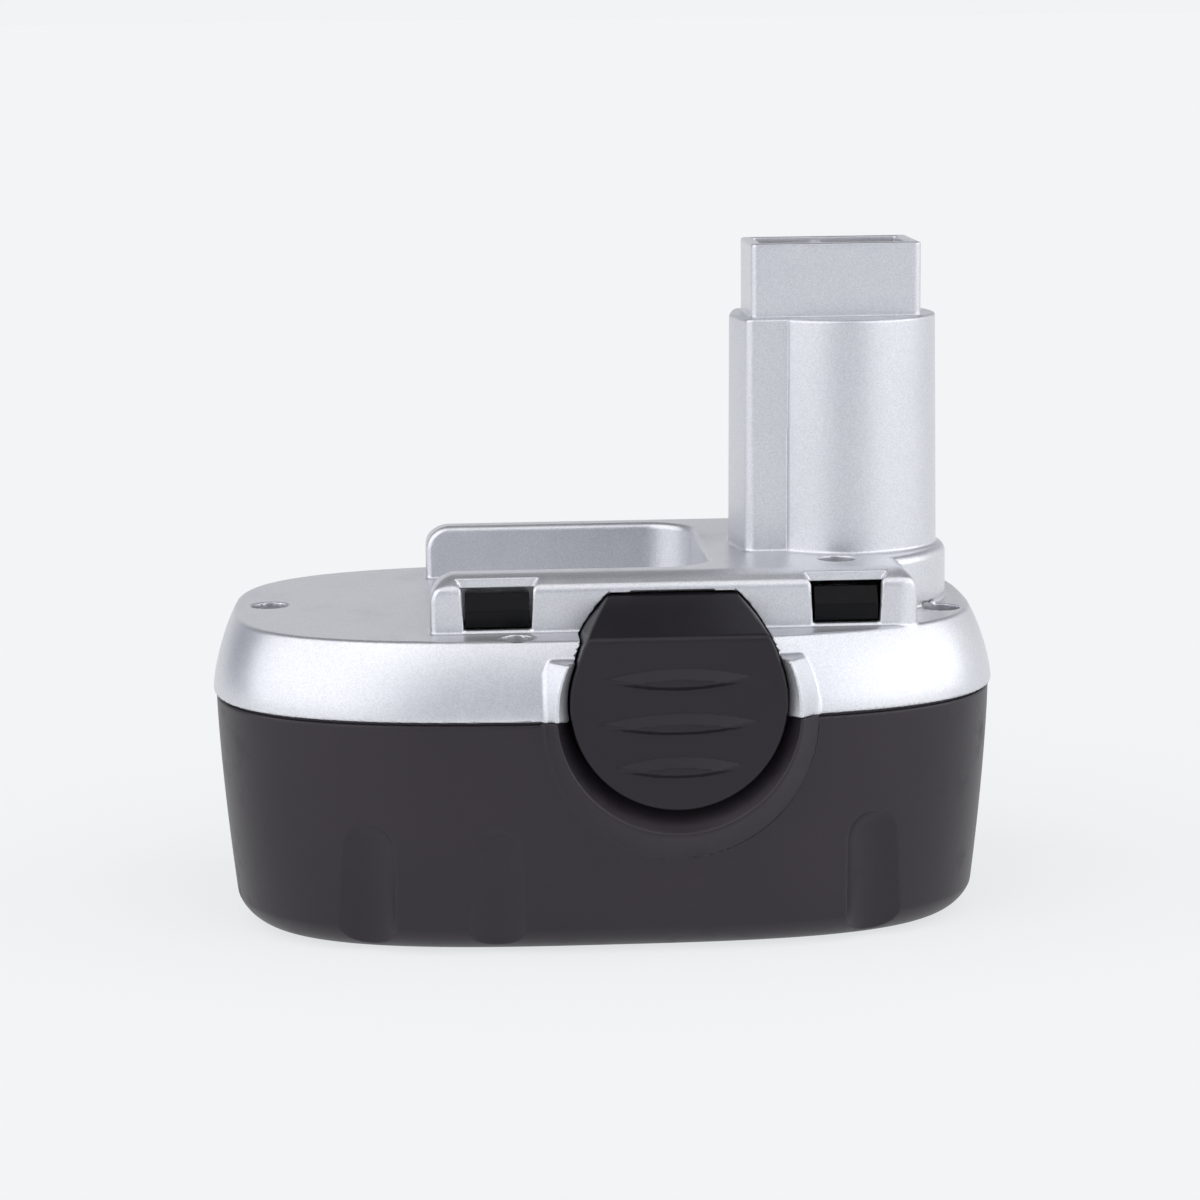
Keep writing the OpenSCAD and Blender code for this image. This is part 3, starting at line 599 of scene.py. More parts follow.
def new_group(
    name: str, inputs: dict[str, float | tuple], outputs: dict[str, str]
) -> tuple[bpy.types.NodeTree, Nodes]:
    """Starts a shader node group with named sockets.

    Args:
        name: The group's name.
        inputs: Default value of each input, a number or a colour.
        outputs: Socket type of each output.

    Returns:
        The group, and the helper that fills it.
    """
    group = bpy.data.node_groups.new(name, "ShaderNodeTree")
    for key, value in inputs.items():
        kind = "NodeSocketColor" if isinstance(value, tuple) else "NodeSocketFloat"
        group.interface.new_socket(name=key, in_out="INPUT", socket_type=kind).default_value = value
    for key, kind in outputs.items():
        group.interface.new_socket(name=key, in_out="OUTPUT", socket_type=kind)
    return group, Nodes(group)


class Effects:
    """The shader effects that several finishes share, each built once as a node group."""

    COARSE_SCALE = 0.28  # Scale of the coarse grain against the fine.
    MARKS_SCALE = 4.0  # Scale of the finger marks against the patches.
    MARKS_RANGE = (0.52, 0.72)  # Noise values where a finger mark starts and where it is full.

    def __init__(self) -> None:
        """Builds the groups."""
        self.grain = self.build_grain()
        self.flake = self.build_flake()
        self.soiling = self.build_soiling()

    def start(
        self, name: str, size_name: str, size: float, others: dict, outputs: dict[str, str]
    ) -> tuple[bpy.types.NodeTree, Nodes, bpy.types.Node, dict[str, bpy.types.NodeSocket]]:
        """Starts a group whose pattern lies on the object at a size in millimetres.

        Args:
            name: The group's name.
            size_name: Name of the input that sets the pattern's size.
            size: Default of that size, in millimetres.
            others: Defaults of the other inputs.
            outputs: Socket type of each output.

        Returns:
            The group, the helper that fills it, its input node, and the texture inputs Vector and Scale.
        """
        group, nodes = new_group(name, {size_name: size, **others}, outputs)
        entry = nodes.add("NodeGroupInput")
        place = nodes.add("ShaderNodeTexCoord").outputs["Object"]
        division = {0: 1 / MILLIMETRE, 1: entry.outputs[size_name]}
        each = nodes.add("ShaderNodeMath", division, operation="DIVIDE")
        return group, nodes, entry, {"Vector": place, "Scale": each.outputs[0]}

    def build_grain(self) -> bpy.types.NodeTree:
        """Moulded texture: fine noise over coarser noise, as a height.

        Returns:
            The node group.
        """
        share, height = {"Coarse Share": 0.3}, {"Height": "NodeSocketFloat"}
        group, nodes, entry, place = self.start("moulded_grain", "Grain Size", 0.25, share, height)
        fine = nodes.add("ShaderNodeTexNoise", {**place, "Detail": 2.0})
        wide = nodes.add("ShaderNodeMath", {0: place["Scale"], 1: self.COARSE_SCALE}, operation="MULTIPLY")
        coarse = nodes.add("ShaderNodeTexNoise", {**place, "Scale": wide.outputs[0], "Detail": 1.0})
        mixed = nodes.add(
            "ShaderNodeMix",
            {0: entry.outputs["Coarse Share"], 2: fine.outputs["Fac"], 3: coarse.outputs["Fac"]},
        )
        nodes.add("NodeGroupOutput", {"Height": mixed.outputs[0]})
        return group

    def build_flake(self) -> bpy.types.NodeTree:
        """Metal flake in paint: small cells, each with its own brightness and a height of its own.

        Returns:
            The node group.
        """
        outputs = {"Sparkle": "NodeSocketFloat", "Height": "NodeSocketFloat"}
        group, nodes, _, place = self.start("metal_flake", "Flake Size", 0.22, {}, outputs)
        cells = nodes.add("ShaderNodeTexVoronoi", place)
        grey = nodes.add("ShaderNodeSeparateColor", {0: cells.outputs["Color"]})
        nodes.add("NodeGroupOutput", {"Sparkle": grey.outputs[0], "Height": grey.outputs[1]})
        return group

    def build_soiling(self) -> bpy.types.NodeTree:
        """Slow change of tone over a surface, with a few finger marks.

        Returns:
            The node group.
        """
        outputs = {"Tone": "NodeSocketFloat", "Marks": "NodeSocketFloat"}
        group, nodes, _, place = self.start("handling_marks", "Patch Size", 30.0, {}, outputs)
        slow = nodes.add("ShaderNodeTexNoise", {**place, "Detail": 3.0})
        finer = nodes.add("ShaderNodeMath", {0: place["Scale"], 1: self.MARKS_SCALE}, operation="MULTIPLY")
        spots = nodes.add(
            "ShaderNodeTexNoise", {**place, "Scale": finer.outputs[0], "Detail": 4.0, "Roughness": 0.7}
        )
        marks = nodes.ramp(spots.outputs["Fac"], *self.MARKS_RANGE, 0.0, 1.0)
        nodes.add("NodeGroupOutput", {"Tone": slow.outputs["Fac"], "Marks": marks})
        return group


@dataclass(frozen=True)
class Finish:
    """A surface finish: its colours, gloss and grain.

    Attributes:
        name: Name of the material.
        dark: Base colour where the tone is low.
        light: Base colour where the tone is high.
        roughness: Roughness in the plain, and how far marks and grain raise it.
        metallic: How much of a metal it is.
        grain_size: Size of the moulded grain in millimetres.
        grain_depth: Height of that grain in millimetres.
        flake_size: Size of metal flakes in millimetres, 0 for none.
        flake_depth: How far flakes tilt the surface, as a height in millimetres.
        specular: Specular level.
        tint: Tint of the reflections.
        coat: Weight of a clear coat.
        soft_edge: Radius in millimetres to which sharp edges are shaded, 0 for none.
    """

    name: str
    dark: tuple[float, float, float]
    light: tuple[float, float, float]
    roughness: tuple[float, float] = (0.45, 0.1)
    metallic: float = 0.0
    grain_size: float = 0.3
    grain_depth: float = 0.01
    flake_size: float = 0.0
    flake_depth: float = 0.0
    specular: float = 0.5
    tint: tuple[float, float, float] = (1.0, 1.0, 1.0)
    coat: float = 0.0
    soft_edge: float = 0.0

    TONE_RANGE = (0.3, 0.7)  # Noise values where the colour is all dark and all light.
    GLINT_RANGE = (0.9, 1.08)  # Brightness of the dullest and of the brightest flake.
    COAT_ROUGHNESS = 0.2
    EDGE_SAMPLES = 4

    def material(self, effects: Effects) -> bpy.types.Material:
        """Builds the material from the shared effects.

        Args:
            effects: The node groups.

        Returns:
            The new material.
        """
        material = bpy.data.materials.new(self.name)
        material.use_nodes = True
        material.diffuse_color = (*self.light, 1)
        tree = material.node_tree
        tree.nodes.clear()
        nodes = Nodes(tree)
        marks = nodes.add("ShaderNodeGroup", node_tree=effects.soiling)
        grain = nodes.add("ShaderNodeGroup", node_tree=effects.grain)
        grain.inputs["Grain Size"].default_value = self.grain_size
        tone = nodes.ramp(marks.outputs["Tone"], *self.TONE_RANGE, 0.0, 1.0)
        colour = nodes.add(
            "ShaderNodeMix", {0: tone, 6: (*self.dark, 1), 7: (*self.light, 1)}, data_type="RGBA"
        ).outputs[2]
        rough = nodes.ramp(marks.outputs["Marks"], 0.0, 1.0, self.roughness[0], sum(self.roughness))
        normal = None
        if self.soft_edge:
            radius = {"Radius": self.soft_edge * MILLIMETRE}
            normal = nodes.add("ShaderNodeBevel", radius, samples=self.EDGE_SAMPLES).outputs[0]
        if self.flake_size:
            flake = nodes.add("ShaderNodeGroup", node_tree=effects.flake)
            flake.inputs["Flake Size"].default_value = self.flake_size
            glint = nodes.ramp(flake.outputs["Sparkle"], 0.0, 1.0, *self.GLINT_RANGE)
            colour = nodes.add(
                "ShaderNodeMix", {0: 1.0, 6: colour, 7: glint}, data_type="RGBA", blend_type="MULTIPLY"
            ).outputs[2]
            bump = nodes.add(
                "ShaderNodeBump",
                {"Height": flake.outputs["Height"], "Distance": self.flake_depth * MILLIMETRE},
            )
            if normal:
                tree.links.new(normal, bump.inputs["Normal"])
            normal = bump.outputs[0]
        bump = nodes.add(
            "ShaderNodeBump",
            {"Height": grain.outputs["Height"], "Distance": self.grain_depth * MILLIMETRE},
        )
        if normal:
            tree.links.new(normal, bump.inputs["Normal"])
        shader = nodes.add(
            "ShaderNodeBsdfPrincipled",
            {
                "Base Color": colour,
                "Roughness": rough,
                "Metallic": self.metallic,
                "Specular IOR Level": self.specular,
                "Specular Tint": (*self.tint, 1),
                "Coat Weight": self.coat,
                "Coat Roughness": self.COAT_ROUGHNESS,
                "Normal": bump.outputs[0],
            },
        )
        nodes.add("ShaderNodeOutputMaterial", {"Surface": shader.outputs[0]})
        return material


def finishes() -> dict[str, Finish]:
    """Every finish on the pack, by the record's material slot.

    Returns:
        The finishes by slot.
    """
    return {
        "case_plastic": Finish(
            "case_charcoal", (0.0100, 0.0076, 0.0106), (0.0135, 0.0104, 0.0142), (0.40, 0.12),
            grain_depth=0.02, specular=0.47, tint=(1.0, 0.93, 1.0),
        ),
        "silver_paint": Finish(
            "silver_flake", (0.635, 0.645, 0.685), (0.675, 0.68, 0.71), (0.35, 0.06), metallic=0.82,
            grain_size=0.6, grain_depth=0.006, flake_size=0.16, flake_depth=0.008,
        ),
        "button_plastic": Finish(
            "button_black", (0.0050, 0.0038, 0.0066), (0.0066, 0.0050, 0.0084), (0.40, 0.1),
            grain_size=0.32, grain_depth=0.025, specular=0.42, tint=(1.0, 0.95, 1.0),
        ),
        "latch_plastic": Finish(
            "latch_black", (0.003, 0.003, 0.0035), (0.005, 0.005, 0.0058), (0.2, 0.1),
            grain_size=0.8, grain_depth=0.006, specular=0.12, soft_edge=0.3,
        ),
        "spring_steel": Finish(
            "drawn_wire", (0.42, 0.42, 0.43), (0.55, 0.55, 0.56), (0.28, 0.1), metallic=1.0,
            grain_size=0.2, grain_depth=0.003,
        ),
        "screw_steel": Finish(
            "dark_screw", (0.10, 0.10, 0.11), (0.16, 0.16, 0.17), (0.30, 0.15), metallic=1.0,
            grain_depth=0.006, soft_edge=0.15,
        ),
        "carrier_plastic": Finish(
            "carrier_black", (0.020, 0.020, 0.022), (0.030, 0.030, 0.032), grain_size=0.4, soft_edge=0.2
        ),
        "contact_metal": Finish(
            "contact_brass", (0.50, 0.42, 0.24), (0.66, 0.57, 0.36), (0.28, 0.12), metallic=1.0,
            grain_depth=0.004, soft_edge=0.1,
        ),
        "link_nickel": Finish(
            "link_nickel", (0.48, 0.47, 0.44), (0.60, 0.59, 0.56), (0.3, 0.15), metallic=1.0,
            grain_depth=0.004,
        ),
        "cell_sleeve": Finish(
            "cell_film", (0.03, 0.16, 0.09), (0.05, 0.22, 0.12), (0.28, 0.1), grain_size=1.2, coat=0.4
        ),
        "foam": Finish(
            "pad_foam", (0.05, 0.05, 0.05), (0.08, 0.08, 0.08), (0.85, 0.08), grain_size=0.6,
            grain_depth=0.08,
        ),
        "insulating_paper": Finish(
            "fish_paper", (0.42, 0.33, 0.18), (0.52, 0.42, 0.24), (0.7, 0.1), grain_size=0.4,
            grain_depth=0.02,
        ),
        "red_lead": Finish(
            "lead_red", (0.38, 0.02, 0.02), (0.48, 0.03, 0.03), (0.42, 0.1), grain_size=0.5,
            grain_depth=0.006,
        ),
        "white_lead": Finish(
            "lead_white", (0.60, 0.59, 0.55), (0.70, 0.69, 0.65), (0.42, 0.1), grain_size=0.5,
            grain_depth=0.006,
        ),
        "sensor_bead": Finish(
            "bead_epoxy", (0.012, 0.012, 0.012), (0.02, 0.02, 0.02), (0.25, 0.1), grain_size=0.5
        ),
    }


# ---------------------------------------------------------------- sub-assemblies


@dataclass
class LowerCase:
    """The charcoal tub: leaning wall, rounded floor edge, finger grooves and both bosses' lower part."""

    sizes: PackSizes
    catch: Catch
    wall: float = 2.4
    floor: float = 2.4
    floor_radius: float = 4.8
    floor_extra: float = 1.4
    floor_break: float = 0.25
    setback: float = 0.5
    draft: float = 3.2
    draft_power: float = 1.5
    draft_reach: float = 1.2
    joint_gap: float = 0.5
    joint_step: float = 1.0
    joint_edge: float = 0.35
    mouth_step: float = 0.75
    mouth_depth: float = 2.8
    collar_base: float = 38.4
    collar_inset: float = 3.1
    collar_overlap: float = 3.2
    collar_points: int = 241
    groove_radius: float = 7.4
    groove_depth: float = 1.8
    groove_foot: float = 4.0
    groove_lean: float = 9.0
    groove_turn: float = 2.0
    groove_edge: float = 0.15
    groove_wall: float = 1.6
    groove_length: float = 26.0
    groove_start: float = 12.0
    funnel_depth: float = 4.4
    room_radius: float = 20.2
    boss_edge: float = 0.3
    fine_edge: float = 0.1
    opening_edge: float = 0.15
    opening_lap: float = 1.0
    grooves: tuple[tuple[float, int], ...] = ((-43.4, 1), (-20.5, 1), (45.5, -1))

    def lean(self, z: np.ndarray | float) -> np.ndarray:
        """How far the wall stands in at a height: more and more towards the floor."""
        drop = np.clip((self.sizes.seam - z) / self.sizes.seam, 0, self.draft_reach)
        return self.setback + self.draft * drop**self.draft_power

    def wall_reach(self, x: float, z: float) -> float:
        """Y of the wall's outside at a place and height.

        Args:
            x: Place along the pack.
            z: Height.

        Returns:
            Y in millimetres.
        """
        sizes, inset = self.sizes, float(self.lean(z))
        share = 1 - (abs(x) / (sizes.half_length - inset)) ** sizes.power
        return (sizes.half_width - inset) * share ** (1 / sizes.power)

    def groove_field(self, points: Points) -> np.ndarray:
        """Distance to the round cutters of the finger grooves, mirrored to the rear.

        Args:
            points: Places in millimetres.

        Returns:
            The distance at each point, negative inside.
        """
        mirrored = np.stack([points[:, 0], np.abs(points[:, 1]), points[:, 2]], 1)
        lean, turn = math.radians(self.groove_lean), math.radians(self.groove_turn)
        nearest = np.full(len(points), FAR)
        for place, side in self.grooves:
            reach = self.wall_reach(place, self.groove_foot) + self.groove_radius - self.groove_depth
            foot = np.array([place, reach, self.groove_foot])
            way = np.array([math.cos(lean) * math.sin(side * turn), math.sin(lean), math.cos(lean)])
            way /= np.linalg.norm(way)
            foot = foot - way * self.groove_start
            cutter = capsule(mirrored, foot, way, self.groove_length, self.groove_radius)
            nearest = np.minimum(nearest, cutter)
        return nearest

    def distance(self, points: Points) -> np.ndarray:
        """The tub's distance field: an oval wall on a filleted floor, less the grooves, plus the bosses.

        Args:
            points: Places in millimetres.

        Returns:
            The distance at each point, negative inside.
        """
        sizes, catch = self.sizes, self.catch
        z = points[:, 2]
        wall = sizes.oval(points, self.lean(z))
        rounded = both(wall - self.floor_break, -z, self.floor_radius + self.floor_extra)
        tub = both(wall, rounded, self.fine_edge)
        thumb = self.groove_field(points)
        tub = without(tub, thumb, self.groove_edge)
        tub = both(tub, z - (sizes.seam - self.joint_gap), self.joint_edge)
        boss = np.maximum(catch.boss(points), z - sizes.seam)
        tub = either(tub, boss, self.boss_edge)
        tub = without(tub, catch.funnel(points, self.funnel_depth), self.boss_edge)
        inside = sizes.oval(points, self.lean(z) + self.wall)
        inner = both(inside, self.floor - z, self.floor_radius - self.wall)
        mouth = sizes.oval(points, self.wall + self.mouth_step)
        mouth = np.maximum(mouth, (sizes.seam - self.mouth_depth) - z)
        inner = np.maximum(inner, self.groove_wall - thumb)
        tub = np.maximum(tub, -np.minimum(inner, mouth))
        room = np.hypot(points[:, 0] - sizes.catch, z - sizes.button_height) - self.room_radius
        room = np.maximum(room, np.abs(points[:, 1]) - catch.back)
        tub = np.maximum(tub, -room)
        return without(tub, catch.opening(points, catch.back - self.opening_lap), self.opening_edge)

    def collar(self, name: str, middle: float, edge: float) -> bpy.types.Object:
        """The collar in the joint: a four cornered profile carried along the oval from one boss to the other.

        Args:
            name: Name of the new object.
            middle: Plan angle at which the arc has its middle.
            edge: X at which both ends of the arc stop, inside the bosses.

        Returns:
            The closed collar.
        """
        sizes = self.sizes
        outer, inner, base = self.joint_step, self.collar_inset, self.collar_base
        profile = np.array([(outer, base), (outer, sizes.seam), (inner, sizes.seam), (inner, base)])
        end = abs(math.atan2(self.wall_reach(edge, sizes.seam), edge) - middle)
        angles = middle + np.linspace(-end, end, self.collar_points)
        long, wide = sizes.half_length - profile[:, 0], sizes.half_width - profile[:, 0]
        cosine, sine = np.cos(angles)[:, None], np.sin(angles)[:, None]
        power = sizes.power
        reach = ((np.abs(cosine) / long) ** power + (np.abs(sine) / wide) ** power) ** (-1 / power)
        rings = np.stack([reach * cosine, reach * sine, np.broadcast_to(profile[:, 1], reach.shape)], -1)
        return lofted(name, rings)

    def build(self, step: float) -> list[bpy.types.Object]:
        """Makes the tub and its collar, and puts them in the place of the CAD node.

        Args:
            step: Size of the search grid's cells.

        Returns:
            The tub and both parts of the collar.
        """
        margin, wide = self.sizes.box_margin, self.sizes.box_half_width
        low = (-self.sizes.half_length - margin, -wide, -margin)
        high = (self.sizes.half_length + margin, wide, self.sizes.seam + margin)
        pieces = [FieldMesher(low, high, step).build("case_tub", self.distance)]
        reach = self.catch.foot[1] - self.collar_overlap
        for name, middle, edge in (("right", 0.0, reach), ("left", math.pi, -reach)):
            pieces.append(self.collar(f"joint_collar_{name}", middle, self.sizes.catch + edge))
        for piece in pieces:
            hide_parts("lower_case")
            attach(piece, Body.PACK.value)
        return pieces


@dataclass
class UpperCover:
    """The silver moulding: skirt, deck, rails, foot, stem and terminal head in one piece."""

    sizes: PackSizes
    catch: Catch
    wall: float = 2.4
    stem_wall: float = 2.1
    rail_wall: float = 1.8
    roof: float = 2.2
    hollow_base: float = 45.0
    lean_base: float = 46.0
    lean_height: float = 6.0
    lean_share: float = 0.6
    draft: float = 0.5
    bend: float = 47.9
    bend_radius: float = 3.5
    shoulder: float = 3.5
    slope_reach: float = 1.3
    rail_middle: float = 10.7
    rail_half_length: float = 41.0
    rail_end_radius: float = 4.5
    rail_lean: float = 0.2
    rail_lean_height: float = 7.7
    rail_depth: float = 20.0
    rail_inset: float = 1.0
    rail_edges: tuple[float, float, float] = (0.7, 1.0, 0.8)
    chamfer_width: float = 2.8
    chamfer_height: float = 1.9
    channel_half: float = 24.2
    channel_end: float = 17.6
    channel_corner: float = 8.5
    channel_edge: float = 1.1
    channel_wall: float = 1.5
    rail_sink: float = 1.5
    stem_sink: float = 1.2
    stem_fillet: float = 0.6
    boss_edge: float = 0.4
    boss_fillet: float = 0.5
    boss_top: float = 50.3
    funnel_depth: float = 2.4
    foot_place: float = 38.0
    foot_radius: float = 23.0
    foot_edge: float = 1.6
    stem_left: float = 22.55
    stem_round_place: float = 43.05
    stem_half_width: float = 16.0
    stem_step_place: float = 32.15
    stem_flat_half: float = 11.21
    stem_draft: float = 0.4
    stem_reach: float = 1.2
    stem_slant: tuple[float, float, float] = (8.0, 0.1, 2.5)
    stem_edges: tuple[float, float, float] = (3.0, 1.2, 0.25)
    stem_lap: float = 6.0
    stem_top_edge: float = 0.5
    head_place: float = 40.7
    head_half_length: float = 14.7
    head_half_width: float = 9.3
    head_wall: float = 2.0
    head_corner: float = 1.1
    head_edge: float = 0.3
    head_fillet: float = 0.35
    socket_corner: float = 0.5
    divider: float = 39.1
    divider_half: float = 0.85
    divider_drop: float = 0.85
    socket_floor: float = 103.7
    window_offset: float = 29.3
    window_half: float = 5.65
    window_base: float = 54.0
    window_top: float = 60.6
    notch_depth: float = 2.2
    notch_spread: float = 0.62
    notch_lean: float = 0.05
    notch_true: float = 0.85
    window_corner: float = 0.3
    sink_radius: float = 3.2
    sink_depth: float = 4.4
    sink_reach: float = 0.7
    sink_edge: float = 0.2
    deck_edge: float = 0.45
    rim_edge: float = 0.25
    opening_edge: float = 0.15
    opening_depth: float = 5.5
    deck_screws: tuple[tuple[float, float, float], ...] = (
        (-58.1, 0.0, 3.2),
        (58.1, 15.6, 3.2),
        (-16.0, 36.1, 2.87),
    )
    foot_screw: tuple[float, float] = (39.4, 20.0)

    def skirt(self, points: Points) -> np.ndarray:
        """Distance to the skirt with its sloping shoulder and flat deck.

        Args:
            points: Places in millimetres.

        Returns:
            The distance at each point, negative inside.
        """
        sizes, z = self.sizes, points[:, 2]
        drop = sizes.deck - self.bend
        wall = sizes.oval(points, self.draft * (z - sizes.seam) / (self.bend - sizes.seam))
        share = np.clip((z - self.bend) / drop, -self.slope_reach, self.slope_reach)
        slope = sizes.oval(points, self.draft + self.shoulder * share)
        slope = slope * drop / math.hypot(drop, self.shoulder)
        body = both(both(wall, slope, self.bend_radius), z - sizes.deck, self.deck_edge)
        return both(body, sizes.seam - z, self.rim_edge)

    def rails(self, points: Points) -> np.ndarray:
        """Distance to the raised rails and round foot, with the channel cut in from the free end.

        Args:
            points: Places in millimetres.

        Returns:
            The distance at each point, negative inside.
        """
        sizes = self.sizes
        x, out, z = points[:, 0], np.abs(points[:, 1]), points[:, 2]
        face = out - (sizes.rail_half - self.rail_lean * (z - sizes.deck) / self.rail_lean_height)
        edge_foot = (sizes.rail_half - self.rail_lean, sizes.rail_top - self.chamfer_height)
        edge = slanted(out, z, edge_foot, (sizes.rail_half - self.chamfer_width, sizes.rail_top))
        depth = self.rail_depth
        side = rectangle(
            x - self.rail_middle,
            z - (sizes.rail_top - depth),
            self.rail_half_length,
            depth,
            self.rail_end_radius,
        )
        edge_radius, end_radius, outline_radius = self.rail_edges
        block = both(both(face, edge, edge_radius), side, end_radius)
        block = both(block, sizes.oval(points, self.draft + self.shoulder - self.rail_lean), outline_radius)
        corner = self.channel_corner
        past_x = x - (self.channel_end - corner)
        past_y = out - (self.channel_half - corner)
        round_end = np.hypot(np.maximum(past_x, 0), np.maximum(past_y, 0))
        channel = round_end + np.minimum(np.maximum(past_x, past_y), 0) - corner
        return without(np.minimum(block, self.foot(points)), channel, self.channel_edge)

    def foot(self, points: Points) -> np.ndarray:
        """Distance to the round foot under the stem."""
        reach = np.hypot(points[:, 0] - self.foot_place, points[:, 1]) - self.foot_radius
        return both(reach, points[:, 2] - self.sizes.rail_top, self.foot_edge)

    def stem_outline(self, points: Points, inset: float) -> np.ndarray:
        """Distance to the stem's outline: a flat sided part with slanted corners, and a round part beside it.

        Args:
            points: Places in millimetres.
            inset: How far the outline is moved inwards.

        Returns:
            The distance at each point, negative inside.
        """
        x, out = points[:, 0], np.abs(points[:, 1])
        flat = self.stem_flat_half
        width, near, far = self.stem_slant
        left_radius, side_radius, step_radius = self.stem_edges
        slant = slanted(out, x, (flat - width, self.stem_left + near), (flat, self.stem_left + far))
        left = both(both(slant, self.stem_left - x, left_radius), out - flat, side_radius)
        left = np.maximum(left, x - self.stem_step_place - self.stem_lap)
        bulge = np.hypot(x - self.stem_round_place, out) - self.stem_half_width
        right = both(bulge, self.stem_step_place - x, step_radius)
        return np.minimum(left, right) + inset

    def stem(self, points: Points) -> np.ndarray:
        """Distance to the stem with the terminal head on top, its two sockets cut in.

        Args:
            points: Places in millimetres.

        Returns:
            The distance at each point, negative inside.
        """
        sizes, z = self.sizes, points[:, 2]
        drop = (sizes.stem_top - z) / (sizes.stem_top - sizes.rail_top)
        spread = self.stem_draft * np.clip(drop, 0, self.stem_reach)
        stem = both(self.stem_outline(points, -spread), z - sizes.stem_top, self.stem_top_edge)
        x, y = points[:, 0] - self.head_place, points[:, 1]
        head = rectangle(x, y, self.head_half_length, self.head_half_width, self.head_corner)
        stem = either(stem, both(head, z - sizes.head_top, self.head_edge), self.head_fillet)
        half_x, half_y = self.head_half_length - self.head_wall, self.head_half_width - self.head_wall
        socket = rectangle(x, y, half_x, half_y, self.socket_corner)
        divider = np.abs(points[:, 0] - self.divider) - self.divider_half
        divider = both(divider, z - (sizes.head_top - self.divider_drop), self.rim_edge)
        socket = np.maximum(np.maximum(socket, self.socket_floor - z), -divider)
        return without(stem, socket, self.rim_edge)

    def windows(self, points: Points) -> np.ndarray:
        """Distance to the hook windows: straight holes, each in a notch that widens up through the chamfer.

        Args:
            points: Places in millimetres.

        Returns:
            The distance at each point, negative inside.
        """
        side = np.abs(np.abs(points[:, 0] - self.sizes.catch) - self.window_offset)
        out, z = np.abs(points[:, 1]), points[:, 2]
        middle, high = (self.window_base + self.window_top) / 2, (self.window_top - self.window_base) / 2
        hole = rectangle(side, z - middle, self.window_half, high, self.window_corner)
        hole = np.maximum(hole, self.channel_half + self.channel_wall - out)
        upright = side - self.window_half - self.notch_lean * (z - self.window_base)
        spread = side - self.window_half - self.window_corner - self.notch_spread * (z - self.window_top)
        notch = np.maximum(np.minimum(upright, spread * self.notch_true), self.window_base - z)
        return np.minimum(hole, both(notch, self.sizes.rail_half - self.notch_depth - out, self.rim_edge))

    def sinks(self, points: Points) -> np.ndarray:
        """Distance to the screw holes in the deck and in the foot, the front ones mirrored to the rear.

        Args:
            points: Places in millimetres.

        Returns:
            The distance at each point, negative inside.
        """
        sizes = self.sizes
        x, out, z = points[:, 0], np.abs(points[:, 1]), points[:, 2]
        holes = np.full(len(points), FAR)
        places = [(place, sizes.deck, radius) for *place, radius in self.deck_screws]
        for place, top, radius in [*places, (self.foot_screw, sizes.rail_top, self.sink_radius)]:
            hole = np.maximum(np.hypot(x - place[0], out - place[1]) - radius, top - self.sink_depth - z)
            holes = np.minimum(holes, np.maximum(hole, z - top - self.sink_reach))
        return holes

    def hollow(self, points: Points) -> np.ndarray:
        """Distance to the space inside the moulding.

        Args:
            points: Places in millimetres.

        Returns:
            The distance at each point, negative inside.
        """
        sizes = self.sizes
        x, out, z = points[:, 0], np.abs(points[:, 1]), points[:, 2]
        under = sizes.deck - self.wall
        leaning_in = np.clip(z - self.lean_base, 0, self.lean_height) * self.lean_share
        main = np.maximum(sizes.oval(points, self.wall + leaning_in), z - under)
        rail = np.abs(x - sizes.catch) - (self.rail_half_length - self.rail_wall)
        rail = np.maximum(rail, out - (sizes.rail_half - self.rail_wall))
        rail = np.maximum(np.maximum(rail, z - (sizes.rail_top - self.roof)), self.hollow_base - z)
        rail = np.maximum(rail, sizes.oval(points, self.draft + self.shoulder + self.rail_inset))
        beyond = self.channel_wall
        channel = np.maximum(x - (self.channel_end + beyond), out - (self.channel_half + beyond))
        channel = np.maximum(channel, under - z)
        rail = np.maximum(rail, -channel)
        foot = np.hypot(x - self.foot_place, points[:, 1]) - (self.foot_radius - self.roof)
        foot = np.maximum(foot, z - (sizes.rail_top - self.wall))
        foot = np.maximum(foot, self.channel_end + beyond - x)
        stem = np.maximum(self.stem_outline(points, self.stem_wall), z - (sizes.stem_top - self.roof))
        raised = np.maximum(np.minimum(foot, stem), self.hollow_base - z)
        return np.minimum(np.minimum(main, rail), raised)

    def distance(self, points: Points) -> np.ndarray:
        """The moulding's distance field.

        Args:
            points: Places in millimetres.

        Returns:
            The distance at each point, negative inside.
        """
        sizes, catch = self.sizes, self.catch
        z = points[:, 2]
        raised = np.maximum(self.rails(points), sizes.deck - self.rail_sink - z)
        body = either(self.skirt(points), raised, self.deck_edge)
        stem = np.maximum(self.stem(points), sizes.rail_top - self.stem_sink - z)
        body = either(body, stem, self.stem_fillet)
        boss = both(np.maximum(catch.boss(points), sizes.seam - z), z - self.boss_top, self.boss_edge)
        body = either(body, boss, self.boss_fillet)
        body = without(body, catch.funnel(points, self.funnel_depth), self.rim_edge)
        body = without(body, self.hollow(points))
        body = without(body, self.windows(points), self.rim_edge)
        body = without(body, self.sinks(points), self.sink_edge)
        return without(body, catch.opening(points, sizes.rail_half - self.opening_depth), self.opening_edge)

